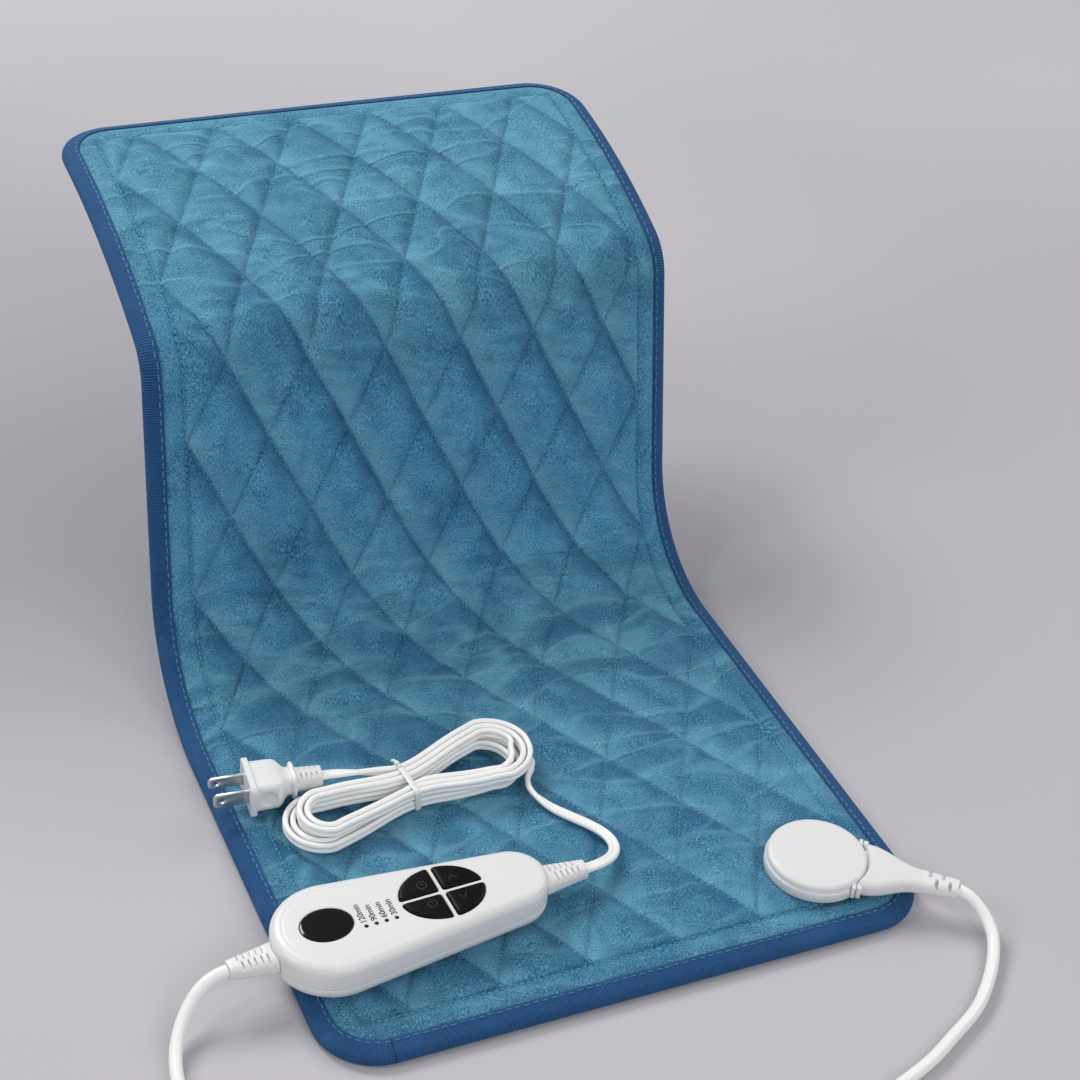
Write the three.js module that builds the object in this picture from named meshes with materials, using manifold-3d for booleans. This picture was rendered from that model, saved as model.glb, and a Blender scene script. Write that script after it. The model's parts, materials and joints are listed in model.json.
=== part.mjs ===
// Electric heating pad with a quilted plush cover, a plug-in lead, a hand controller and a mains plug.
// Millimetres, +Z up. The pad lies flat at its front and climbs over a step towards its back.

import * as THREE from 'three';
import { mergeVertices } from 'three/addons/utils/BufferGeometryUtils.js';
import Module from 'manifold-3d';

const wasm = await Module();
wasm.setup();

// Fits and cuts that every piece shares
const seatGap = 0.3;
const fitGap = 0.35;
const cutOverrun = 2;
const degree = Math.PI / 180;

// How finely round shapes are divided
const plateSides = 24;
const boltSides = 12;
const pegSides = 10;
const pipeSides = 8;
const socketSides = 40;
const ovalSegments = 14;

// Pad: flat size and how it bends
const padWidth = 305;
const padLength = 610;
const cornerRadius = 30;
const bendSlant = 6.16 * degree;
const flatRun = 211;
const lowerBendRadius = 84.7;
const lowerBendTurn = 69.3 * degree;
const steepRun = 104.3;
const upperBendRadius = 26.6;
const upperBendTurn = 47.4 * degree;
const tailRadius = 410;

// Pad: its layers, as heights above the surface that it lies on
const backClothThickness = 2.2;
const backEdgeLift = 1.4;
const backLiftInset = 11.4;
const backFlatInset = 13;
const feltThickness = 1.2;
const feltInset = 27;
const wireDiameter = 2.2;
const wireSideInset = 41;
const quiltUnderside = 6.5;
const quiltEdgeUnderside = 2.5;
const quiltEdgeTop = 5.3;
const quiltStitchHeight = 7.7;
const quiltCrownHeight = 10.7;
const borderRollHeight = 9.4;
const borderStitchInset = 20;
const borderRollInset = 15;
const quiltUndersideInset = 14;

// Pad: diamond quilting
const quiltColumns = 12;
const quiltRows = 14;
const quiltRowPitch = 40.46;
const quiltFrontInset = 24.2;

// Pad: bound edge
const bindingReach = 9;
const bindingThickness = 0.8;
const bindingFloorGap = 0.3;
const bindingBulge = 0.9;

// Thermal cut-outs on the heating felt
const cutoutLength = 16;
const cutoutWidth = 6;
const cutoutHeight = 2.2;
const cutoutLeftAcross = 100;
const cutoutRightAcross = 200;
const cutoutRow = 5;

// Socket on the pad's front corner
const socketFromSide = 46;
const socketAcross = padWidth - socketFromSide;
const socketBack = 41;
const socketAngle = -36 * degree;
const socketRadius = 25;
const socketHeight = 9.5;
const socketRimHeight = 5.6;
const socketTopInset = 2.8;
const socketFootInset = 1;
const socketFootHeight = 1.2;
const socketCrown = 0.5;
const socketTopDrop = 1.8;
const lowRimShare = 0.25;
const highRimShare = 0.55;
const socketEarWidth = 35;
const coverEarWidth = 37;
const socketEarThickness = 2.2;
const socketEarHeight = 7;
const baseRadius = 20;
const baseThickness = 2.2;
const neckRadius = 9.5;
const neckBore = 5;
const neckHoleRadius = 10.1;
const mouthWidth = 22;
const mouthHeight = 5.2;
const mouthDepth = 18;
const mouthFloor = 1;
const contactRadius = 1;
const contactPitch = 6.5;
const contactLength = 11.5;
const contactSocketRadius = 1.75;
const socketScrewPitch = 14.5;
const socketScrewRadius = 1.2;
const socketScrewHeadRadius = 1.85;
const socketScrewHeadHeight = 1.1;
const socketScrewLength = 8;
const screwClearance = 0.25;

// Connector on the pad's lead
const connectorSeam = 0.5;
const connectorLength = 50;
const connectorRootWidth = 30;
const connectorTipWidth = 12;
const connectorTipHeight = 8.4;
const tongueDepth = 15;
const gripShares = [0, 0.2, 0.4, 0.55, 0.7, 0.85, 1];
const gripEvenShare = 0.18;
const gripEdgeShare = 0.34;
const connectorReliefLength = 18;
const connectorReliefTipWidth = 9;
const connectorReliefTipHeight = 7.4;
const connectorSlotCount = 4;

// Lead from the connector to the controller
const leadRadius = 3;
const leadSides = 10;
const leadSteps = 50;

// Controller housing
const controllerAcross = 61.4;
const controllerBack = 62.7;
const controllerAngle = 2.5 * degree;
const wideEndX = -41;
const wideEndRadius = 28;
const slimEndX = 47.5;
const slimEndRadius = 17.5;
const controllerHeight = 20;
const partingHeight = 7.6;
const shellWall = 2;
const topEdgeInset = 5;
const topEdgeDrop = 4.4;
const footInset = 5.2;
const footHeight = 5.5;
const footEdgeShare = 1 / 3;
const hollowEdgeShare = 0.5;
const lowEdge = { inShare: 0.25, downShare: 0.42 };
const highEdge = { inShare: 0.53, downShare: 0.14 };
const boardInset = 4.6;
const boardBottom = 8;
const boardThickness = 1.6;
const bossRadius = 3.2;
const screwRadius = 1.3;
const screwHeadRadius = 2.5;
const screwHeadHeight = 1.5;
const screwLength = 13;
const screwHeadDepth = 2.4;
const wideScrewX = -54.5;
const wideScrewY = 14.5;
const slimScrewX = 50;
const slimScrewY = 9;

// Controller face
const displayX = -43.5;
const displayY = 0.8;
const displayHalfLength = 12.3;
const displayHalfWidth = 9.9;
const lensFlange = 1.2;
const lensFlangeThickness = 1.4;
const displayModuleLength = 19;
const displayModuleWidth = 13;
const displayModuleHeight = 5.5;
const keysX = 12.7;
const keysY = 0.8;
const keysHalfLength = 20.3;
const keysHalfWidth = 15.9;
const keyCrossGap = 2.4;
const keyProud = 1.1;
const keyFlange = 0.7;
const keyFlangeThickness = 1.3;
const keyCornerRadius = 2;
const keyArcSteps = 8;
const keyStemRadius = 2;
const keyTravel = 0.6;
const keyStemShareX = 0.42;
const keyStemShareY = 0.4;
const switchSide = 6;
const switchHeight = 3.6;
const lightFirstX = -27.4;
const lightPitch = 4.9;
const lightCount = 4;
const lightY = -6.4;
const lightRadius = 0.85;
const lightHoleRadius = 1.15;
const lightBarHeight = 3;
const lightBarWidth = 3;

// Controller electronics
const triacLength = 10;
const triacWidth = 4.4;
const triacHeight = 7;
const triacTabThickness = 1.3;
const triacX = 38.5;
const fuseLength = 11;
const fuseRadius = 2.2;
const fuseX = -14;
const fuseY = 9;
const capacitorLength = 10;
const capacitorWidth = 5;
const capacitorHeight = 6.5;
const capacitorX = -14;
const capacitorY = -15;

// Ribbed boots where cords leave the controller
const bootLength = 21;
const bootRootWidth = 14.5;
const bootRootHeight = 9.5;
const bootTipWidth = 8.6;
const bootTipHeight = 7.4;
const bootCenterHeight = 9.6;
const bootNeckWidth = 9;
const bootNeckHeight = 6;
const bootFlangeWidth = 12;
const bootFlangeHeight = 8;
const bootFlangeThickness = 1.2;
const bootFlangeDepth = 4.4;
const bootEdgeRadius = 3;
const bootSlotWidth = 1;
const bootSlotPitch = 3;
const bootSlotCount = 5;
const bootSlotDepth = 1.1;
const bootSlotRootShare = 0.2;

// Flat mains cord
const cordWidth = 5.6;
const cordThickness = 2.8;
const cordSteps = 16;
const plugCordSteps = 4;

// Hank of mains cord
const hankAcross = 89.5;
const hankBack = 148.3;
const hankAngle = 9 * degree;
const hankHalfLength = 66;
const hankHalfWidth = 21;
const hankLeftHalfWidth = 18;
const hankStep = 3.55;
const hankTieHalfWidth = 9.6;
const hankWaistReach = 30;
const hankLoopsPerLayer = 3;
const hankLayerRise = 6.2;
const tieWidth = 3.4;
const tieThickness = 0.8;
const tieCornerRadius = 1.5;
const tieKnotRadius = 2.3;
const tieKnotLength = 5;
const tieRoom = 1.2;
const hankExitAngle = 21 * degree;

// Mains plug
const plugAcross = 15;
const plugBack = 169.9;
const plugAngle = 175 * degree;
const plugFlangeWidth = 26;
const plugFlangeHeight = 18;
const plugFlangeThickness = 3;
const plugBodyWidth = 21.5;
const plugBodyHeight = 15.5;
const plugBodyLength = 12;
const plugWaistWidth = 12;
const plugWaistHeight = 11;
const plugWaistLength = 6.5;
const plugCollarWidth = 15.5;
const plugCollarHeight = 14;
const plugCollarThickness = 2.6;
const plugReliefLength = 13;
const plugReliefWidth = 10.4;
const plugReliefTipWidth = 8.6;
const plugEdgeRadius = 2.4;
const plugRibCount = 4;
const plugRibDepth = 0.8;
const bladePitch = 12.7;
const bladeWidth = 6.35;
const wideBladeWidth = 7.9;
const bladeThickness = 1.5;
const bladeLength = 17;
const bladeSeatDepth = 2.4;
const bladeHoleRadius = 1.6;
const bladeHoleInset = 4;
const bladeTipChamfer = 1.4;
const bladeClearance = 0.1;
const collarRimShare = 0.9;
const bodyTaperShare = 0.8;
const bodyShoulderShare = 0.96;

// Heights worked out from the layers
const feltBottom = backClothThickness + seatGap;
const feltTop = feltBottom + feltThickness;
const wireHeight = feltTop + seatGap + wireDiameter / 2;
const restHeight = quiltCrownHeight + seatGap;
const boardTop = boardBottom + boardThickness;
const faceUnderside = controllerHeight - shellWall;

// Pad geometry: the slanted profile, flat pattern to bent place

const profileRuns = [
  { length: flatRun, bend: 0 },
  { length: lowerBendRadius * lowerBendTurn, bend: 1 / lowerBendRadius },
  { length: steepRun, bend: 0 },
  { length: upperBendRadius * upperBendTurn, bend: -1 / upperBendRadius },
  { length: padLength, bend: -1 / tailRadius },
];

// How far back, how high and how steep the cloth is after a distance along it
function profileAt(distance) {
  let back = 0;
  let up = 0;
  let slope = 0;
  let left = distance;
  for (const run of profileRuns) {
    const part = Math.min(left, run.length);
    if (run.bend === 0) {
      back += part * Math.cos(slope);
      up += part * Math.sin(slope);
    } else {
      const end = slope + part * run.bend;
      back += (Math.sin(end) - Math.sin(slope)) / run.bend;
      up += (Math.cos(slope) - Math.cos(end)) / run.bend;
      slope = end;
    }
    left -= part;
    if (left <= 0) break;
  }
  return { back, up, slope };
}

// A point of the flat pattern, at a height above the underside, moved to its bent place
function padPoint(across, along, height) {
  const ruling = across * Math.cos(bendSlant) + along * Math.sin(bendSlant);
  const distance = along * Math.cos(bendSlant) - across * Math.sin(bendSlant);
  const { back, up, slope } = profileAt(distance);
  const backMoved = back - height * Math.sin(slope);
  return new THREE.Vector3(
    ruling * Math.cos(bendSlant) - backMoved * Math.sin(bendSlant),
    ruling * Math.sin(bendSlant) + backMoved * Math.cos(bendSlant),
    up + height * Math.cos(slope),
  );
}

// Columns and rows of the pad's grid. Quilt lines meet at every second one.
const quiltColumnPitch = (padWidth - 2 * borderStitchInset) / quiltColumns;
const upperBendStart = flatRun + lowerBendRadius * lowerBendTurn + steepRun;
const upperBendEnd = upperBendStart + upperBendRadius * upperBendTurn;

function gridColumns() {
  const columns = [];
  for (let half = 1; half < 2 * quiltColumns; half += 1) {
    columns.push(borderStitchInset + half * quiltColumnPitch / 2);
  }
  return columns;
}

// Every half row, with one more between where the pad folds over the step's edge
function gridRows() {
  const rows = [];
  for (let half = 1; half < 2 * quiltRows; half += 1) {
    const along = quiltFrontInset + half * quiltRowPitch / 2;
    rows.push(along);
    const next = along + quiltRowPitch / 2;
    const farDistance = next * Math.cos(bendSlant);
    const nearDistance = along * Math.cos(bendSlant) - padWidth * Math.sin(bendSlant);
    if (farDistance > upperBendStart && nearDistance < upperBendEnd && half % 2 === 0) {
      rows.push((along + next) / 2);
    }
  }
  return rows;
}

const fineColumns = gridColumns();
const coarseColumnShares = [0, 7 / 22, 15 / 22, 1];
const coarseColumns = coarseColumnShares.map((share) => (
  fineColumns[Math.round(share * (fineColumns.length - 1))]
));
const padRows = gridRows();
const cornerShares = [0.25, 0.5, 0.75, 1];

// A loop round the pad at an inset from its edge, counter-clockwise from the front left
function outlineLoop(columns, inset, height) {
  const loop = [];
  const far = { across: padWidth, along: padLength };
  const radius = Math.max(cornerRadius - inset, 0);
  const add = (across, along) => loop.push({ across, along, height });
  const corner = (rightSide, backSide, shares) => {
    for (const share of shares) {
      const turn = share * Math.PI / 2;
      const acrossIn = inset + radius * (1 - Math.sin(turn));
      const alongIn = inset + radius * (1 - Math.cos(turn));
      add(rightSide ? far.across - acrossIn : acrossIn, backSide ? far.along - alongIn : alongIn);
    }
  };
  const fromSide = [...cornerShares].reverse();
  columns.forEach((across) => add(across, inset));
  corner(true, false, cornerShares);
  padRows.forEach((along) => add(far.across - inset, along));
  corner(true, true, fromSide);
  [...columns].reverse().forEach((across) => add(across, far.along - inset));
  corner(false, true, cornerShares);
  [...padRows].reverse().forEach((along) => add(inset, along));
  corner(false, false, fromSide);
  return loop;
}

// Solids: lists of points and triangles that end as one closed body

class Shell {
  constructor() {
    this.points = [];
    this.faces = [];
  }

  add(point) {
    this.points.push(point);
    return this.points.length - 1;
  }

  addLoop(points) {
    return points.map((point) => this.add(point));
  }

  quad(a, b, c, d) {
    this.faces.push([a, b, c], [a, c, d]);
  }

  // Joins two closed rings of equal counts
  band(inner, outer) {
    inner.forEach((start, index) => {
      const next = (index + 1) % inner.length;
      this.quad(start, outer[index], outer[next], inner[next]);
    });
  }

  // Closes a ring with triangles round its middle
  cap(ring, facingUp) {
    const middle = new THREE.Vector3();
    ring.forEach((index) => middle.add(this.points[index]));
    const centre = this.add(middle.divideScalar(ring.length));
    ring.forEach((start, index) => {
      const next = ring[(index + 1) % ring.length];
      this.faces.push(facingUp ? [start, next, centre] : [next, start, centre]);
    });
  }

  geometry() {
    let volume = 0;
    for (const [a, b, c] of this.faces) {
      const cross = new THREE.Vector3().crossVectors(this.points[b], this.points[c]);
      volume += this.points[a].dot(cross);
    }
    const order = volume > 0 ? [0, 1, 2] : [0, 2, 1];
    const positions = this.points.flatMap((point) => [point.x, point.y, point.z]);
    const index = this.faces.flatMap((face) => order.map((place) => face[place]));
    const made = new THREE.BufferGeometry();
    made.setAttribute('position', new THREE.Float32BufferAttribute(positions, 3));
    made.setIndex(index);
    return made;
  }
}

// Skin through rings with equal counts of points, closed at both ends
function loft(rings) {
  const shell = new Shell();
  const indices = rings.map((ring) => shell.addLoop(ring));
  for (let level = 1; level < indices.length; level += 1) {
    shell.band(indices[level], indices[level - 1]);
  }
  shell.cap(indices[0], false);
  shell.cap(indices[indices.length - 1], true);
  return shell.geometry();
}

// Skin through rings that close on themselves, like the section of a bound edge
function ringLoft(rings) {
  const shell = new Shell();
  const indices = rings.map((ring) => shell.addLoop(ring));
  indices.forEach((ring, level) => {
    shell.band(ring, indices[(level + indices.length - 1) % indices.length]);
  });
  return shell.geometry();
}

function solidOf(geometry) {
  const bare = new THREE.BufferGeometry();
  bare.setAttribute('position', geometry.getAttribute('position').clone());
  if (geometry.index) bare.setIndex(geometry.index.clone());
  const merged = mergeVertices(bare);
  const vertProperties = merged.getAttribute('position').array;
  const triVerts = new Uint32Array(merged.index.array);
  return new wasm.Manifold(new wasm.Mesh({ numProp: 3, vertProperties, triVerts }));
}

function geometryOf(solid) {
  const made = solid.getMesh();
  const count = made.vertProperties.length / made.numProp;
  const positions = new Float32Array(count * 3);
  for (let vertex = 0; vertex < count; vertex += 1) {
    const first = vertex * made.numProp;
    positions.set(made.vertProperties.subarray(first, first + 3), vertex * 3);
  }
  const geometry = new THREE.BufferGeometry();
  geometry.setAttribute('position', new THREE.BufferAttribute(positions, 3));
  geometry.setIndex([...made.triVerts]);
  return geometry;
}

function cut(geometry, ...tools) {
  const result = tools.reduce((left, tool) => left.subtract(solidOf(tool)), solidOf(geometry));
  return geometryOf(result);
}

function join(geometry, ...others) {
  const result = others.reduce((whole, other) => whole.add(solidOf(other)), solidOf(geometry));
  return geometryOf(result);
}

// Simple solids

function block(low, high) {
  const size = high.map((value, axis) => value - low[axis]);
  const made = new THREE.BoxGeometry(...size);
  made.translate(...low.map((value, axis) => value + size[axis] / 2));
  return made;
}

function upright(radius, bottom, top, sides) {
  const made = new THREE.CylinderGeometry(radius, radius, top - bottom, sides);
  made.rotateX(Math.PI / 2);
  made.translate(0, 0, (top + bottom) / 2);
  return made;
}

function prism(shape, bottom, top, curveSegments) {
  const depth = top - bottom;
  const made = new THREE.ExtrudeGeometry(shape, { depth, bevelEnabled: false, curveSegments });
  made.translate(0, 0, bottom);
  return made;
}

// A rod along X whose section is a rounded rectangle that changes from ring to ring
function roundedSection(x, width, height, radius, steps) {
  const ring = [];
  const cornerX = width / 2 - radius;
  const cornerZ = height / 2 - radius;
  const quarters = [[1, 1], [-1, 1], [-1, -1], [1, -1]];
  quarters.forEach(([sideY, sideZ], quarter) => {
    for (let step = 0; step <= steps; step += 1) {
      const turn = (quarter + step / steps) * Math.PI / 2;
      ring.push(new THREE.Vector3(
        x,
        sideY * cornerX + radius * Math.cos(turn),
        sideZ * cornerZ + radius * Math.sin(turn),
      ));
    }
  });
  return ring;
}

// Materials and meshes

const plush = { color: 0x3f83a6, roughness: 0.95, metalness: 0 };
const tape = { color: 0x1f5186, roughness: 0.8, metalness: 0 };
const felt = { color: 0xe8e4da, roughness: 0.95, metalness: 0 };
const wireSheath = { color: 0xd8d5c8, roughness: 0.5, metalness: 0 };
const whiteGloss = { color: 0xeef0f1, roughness: 0.28, metalness: 0 };
const whiteCord = { color: 0xe9ebec, roughness: 0.45, metalness: 0 };
const blackGloss = { color: 0x0b0c0e, roughness: 0.12, metalness: 0 };
const blackKey = { color: 0x17181a, roughness: 0.4, metalness: 0 };
const greenBoard = { color: 0x1d5b35, roughness: 0.6, metalness: 0 };
const nickel = { color: 0xb9b6ae, roughness: 0.3, metalness: 1 };
const darkPart = { color: 0x26282b, roughness: 0.6, metalness: 0 };
const clearGuide = { color: 0xcfd6d2, roughness: 0.2, metalness: 0 };

function part(name, finish, geometry) {
  geometry.deleteAttribute('uv');
  geometry.deleteAttribute('normal');
  geometry.computeVertexNormals();
  const mesh = new THREE.Mesh(geometry, new THREE.MeshStandardMaterial({ ...finish, flatShading: true }));
  mesh.name = name;
  return mesh;
}

// Pad layers

function quiltHeight(across, along) {
  const columnShare = (across - borderStitchInset) / quiltColumnPitch;
  const rowShare = (along - quiltFrontInset) / quiltRowPitch;
  const fromOdd = (value) => Math.abs(value - 2 * Math.floor(value / 2) - 1);
  const away = Math.min(fromOdd(columnShare + rowShare), fromOdd(columnShare - rowShare));
  const rise = 1 - (1 - away) ** 2;
  return quiltStitchHeight + (quiltCrownHeight - quiltStitchHeight) * rise;
}

// A bent sheet: a grid inside, and loops round it from the top's to the underside's
function bentSheet({ topColumns, loops, topHeight, undersideHeight }) {
  const shell = new Shell();
  const bent = (spot) => shell.add(padPoint(spot.across, spot.along, spot.height));

  const grid = (columns, heightAt, facingUp) => {
    const indices = padRows.map((along) => columns.map((across) => (
      bent({ across, along, height: heightAt(across, along) })
    )));
    for (let row = 1; row < indices.length; row += 1) {
      for (let column = 1; column < columns.length; column += 1) {
        const corners = [
          indices[row - 1][column - 1], indices[row - 1][column], indices[row][column], indices[row][column - 1],
        ];
        const across = (columns[column - 1] + columns[column]) / 2 - borderStitchInset;
        const along = (padRows[row - 1] + padRows[row]) / 2 - quiltFrontInset;
        const columnCell = Math.floor(2 * across / quiltColumnPitch);
        const rowCell = Math.floor(2 * along / quiltRowPitch);
        if ((columnCell + rowCell) % 2 !== 0) corners.push(corners.shift());
        if (!facingUp) corners.reverse();
        shell.quad(...corners);
      }
    }
    const spots = [];
    const last = columns.length - 1;
    const lastRow = padRows.length - 1;
    columns.forEach((across, column) => spots.push([across, padRows[0], indices[0][column]]));
    padRows.slice(1).forEach((along, row) => spots.push([columns[last], along, indices[row + 1][last]]));
    for (let column = last - 1; column >= 0; column -= 1) {
      spots.push([columns[column], padRows[lastRow], indices[lastRow][column]]);
    }
    for (let row = lastRow - 1; row > 0; row -= 1) spots.push([columns[0], padRows[row], indices[row][0]]);
    return spots.map(([across, along, index]) => ({ across, along, index }));
  };

  // Fills between two loops with any counts by always taking the shorter diagonal
  const bridge = (inner, outer) => {
    let a = 0;
    let b = 0;
    const distance = (first, second) => Math.hypot(first.across - second.across, first.along - second.along);
    while (a < inner.length || b < outer.length) {
      const hereA = inner[a % inner.length];
      const hereB = outer[b % outer.length];
      const nextA = inner[(a + 1) % inner.length];
      const nextB = outer[(b + 1) % outer.length];
      const stepOuter = a >= inner.length
        || (b < outer.length && distance(hereA, nextB) <= distance(nextA, hereB));
      if (stepOuter) {
        shell.faces.push([hereA.index, hereB.index, nextB.index]);
        b += 1;
      } else {
        shell.faces.push([hereA.index, hereB.index, nextA.index]);
        a += 1;
      }
    }
  };

  const placed = loops.map(({ inset, height }) => (
    outlineLoop(coarseColumns, inset, height).map((spot) => ({ ...spot, index: bent(spot) }))
  ));
  bridge(grid(topColumns, topHeight, true), placed[0]);
  for (let level = 1; level < placed.length; level += 1) {
    shell.band(placed[level - 1].map((spot) => spot.index), placed[level].map((spot) => spot.index));
  }
  // Turned over, the last loop lies outside the underside's grid, so its faces run the other way
  const firstUnder = shell.faces.length;
  bridge(grid(coarseColumns, undersideHeight, true), placed[placed.length - 1]);
  for (let face = firstUnder; face < shell.faces.length; face += 1) shell.faces[face].reverse();
  return shell.geometry();
}

function quiltedTop() {
  const sheetInset = bindingThickness + seatGap;
  const sheet = bentSheet({
    topColumns: fineColumns,
    topHeight: quiltHeight,
    undersideHeight: () => quiltUnderside,
    loops: [
      { inset: borderStitchInset, height: quiltStitchHeight },
      { inset: borderRollInset, height: borderRollHeight },
      { inset: sheetInset, height: quiltEdgeTop },
      { inset: sheetInset, height: quiltEdgeUnderside },
      { inset: quiltUndersideInset, height: quiltUnderside },
    ],
  });
  const hole = upright(neckHoleRadius, quiltEdgeUnderside, quiltCrownHeight + cutOverrun, plateSides);
  hole.translate(socketAcross, socketBack, 0);
  return part('quilted_top', plush, cut(sheet, hole));
}

function backCover() {
  const sheetInset = bindingThickness + seatGap;
  return part('back_cover', plush, bentSheet({
    topColumns: coarseColumns,
    topHeight: () => backClothThickness,
    undersideHeight: () => 0,
    loops: [
      { inset: sheetInset, height: backClothThickness },
      { inset: sheetInset, height: backEdgeLift },
      { inset: backLiftInset, height: backEdgeLift },
      { inset: backFlatInset, height: 0 },
    ],
  }));
}

function elementFelt() {
  return part('element_felt', felt, bentSheet({
    topColumns: coarseColumns,
    topHeight: () => feltTop,
    undersideHeight: () => feltBottom,
    loops: [
      { inset: feltInset, height: feltTop },
      { inset: feltInset, height: feltBottom },
    ],
  }));
}

// The tape folded over the rim, as a section of insets and heights carried round the outline
function edgeBinding() {
  const underBottom = bindingFloorGap;
  const underTop = bindingFloorGap + bindingThickness;
  const sheetInset = bindingThickness + seatGap;
  const slope = (borderRollHeight - quiltEdgeTop) / (borderRollInset - sheetInset);
  const overAt = (inset) => quiltEdgeTop + (inset - sheetInset) * slope + seatGap;
  const middle = (underBottom + overAt(0)) / 2;
  const section = [
    [bindingReach, underBottom],
    [bindingReach, underTop],
    [bindingThickness, underTop],
    [bindingThickness, overAt(bindingThickness)],
    [bindingReach, overAt(bindingReach)],
    [bindingReach, overAt(bindingReach) + bindingThickness],
    [bindingBulge, overAt(bindingBulge) + bindingThickness],
    [0, middle],
    [bindingBulge, underBottom],
  ];
  const rings = section.map(([inset, height]) => (
    outlineLoop(coarseColumns, inset, height).map((spot) => padPoint(spot.across, spot.along, spot.height))
  ));
  return part('edge_binding', tape, ringLoft(rings));
}

// A height inside the pad, held between the same facets as the layers above and below it
function layerPoint(across, along, height) {
  const cellOf = (places, value) => {
    const found = places.findIndex((place) => place > value);
    const high = found < 0 ? places.length - 1 : Math.max(found, 1);
    return [places[high - 1], places[high]];
  };
  const [left, right] = cellOf(coarseColumns, across);
  const [near, far] = cellOf(padRows, along);
  const acrossShare = (across - left) / (right - left);
  const alongShare = (along - near) / (far - near);
  const [nearPlace, farPlace] = [near, far].map((row) => (
    new THREE.Vector3().lerpVectors(padPoint(left, row, height), padPoint(right, row, height), acrossShare)
  ));
  return nearPlace.lerp(farPlace, alongShare);
}

// Round tube through points, with square ends
function tubeThrough(centres, radius, sides, startDirection, endDirection) {
  const rings = centres.map((centre, index) => {
    const before = centres[Math.max(index - 1, 0)];
    const after = centres[Math.min(index + 1, centres.length - 1)];
    let heading = new THREE.Vector3().subVectors(after, before).normalize();
    if (index === 0 && startDirection) heading = startDirection;
    if (index === centres.length - 1 && endDirection) heading = endDirection;
    const sideways = new THREE.Vector3().crossVectors(heading, new THREE.Vector3(0, 0, 1)).normalize();
    const upwards = new THREE.Vector3().crossVectors(sideways, heading);
    return Array.from({ length: sides }, (_, side) => {
      const turn = Math.PI * (2 * side + 1) / sides;
      return new THREE.Vector3()
        .copy(centre)
        .addScaledVector(sideways, radius * Math.cos(turn))
        .addScaledVector(upwards, radius * Math.sin(turn));
    });
  });
  return loft(rings);
}

const wireFirstRow = 2;
const wireSides = 5;
const wireRowTolerance = 0.01;
const wireTurnShare = 1 / 6;

// Heating wire: a run along every row of the grid, joined by turns at the sides
function heatingWire() {
  const onHalfRow = (along) => {
    const halfRows = 2 * (along - quiltFrontInset) / quiltRowPitch;
    return Math.abs(halfRows - Math.round(halfRows)) < wireRowTolerance;
  };
  const runs = padRows.slice(wireFirstRow, -1).filter(onHalfRow);
  const leftEnd = wireSideInset;
  const rightEnd = padWidth - wireSideInset;
  const inner = coarseColumns.slice(1, -1);
  const centres = [];
  const startAlong = socketBack + baseRadius + wireDiameter;
  centres.push(layerPoint(socketAcross, startAlong, wireHeight));
  runs.forEach((along, run) => {
    const leftwards = run % 2 === 0;
    const places = leftwards ? [rightEnd, ...[...inner].reverse(), leftEnd] : [leftEnd, ...inner, rightEnd];
    if (run === 0) places[0] = rightEnd - quiltRowPitch / 2;
    places.forEach((across) => centres.push(layerPoint(across, along, wireHeight)));
    if (run < runs.length - 1) {
      const turnReach = quiltRowPitch * wireTurnShare;
      const turnAcross = leftwards ? leftEnd - turnReach : rightEnd + turnReach;
      centres.push(layerPoint(turnAcross, (along + runs[run + 1]) / 2, wireHeight));
    }
  });
  return part('heating_wire', wireSheath, tubeThrough(centres, wireDiameter / 2, wireSides));
}

function thermalCutout(name, across) {
  const middle = (padRows[cutoutRow - 1] + padRows[cutoutRow]) / 2;
  const bottom = feltTop + seatGap;
  const shape = block(
    [across - cutoutLength / 2, middle - cutoutWidth / 2, bottom],
    [across + cutoutLength / 2, middle + cutoutWidth / 2, bottom + cutoutHeight],
  );
  return part(name, darkPart, shape);
}

// Socket and connector, modelled along +X with the socket's middle at the group's origin

function disc(radius, bottom, top, sides) {
  return upright(radius, bottom, top, sides);
}

const mouthMiddle = restHeight + socketHeight / 2;
const seamRadius = socketRadius + connectorSeam;
const gripStart = Math.sqrt(seamRadius ** 2 - (connectorRootWidth / 2) ** 2) + fitGap;

function discRing(radius, height) {
  return Array.from({ length: socketSides }, (_, side) => {
    const turn = 2 * Math.PI * side / socketSides;
    return new THREE.Vector3(radius * Math.cos(turn), radius * Math.sin(turn), height);
  });
}

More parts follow.
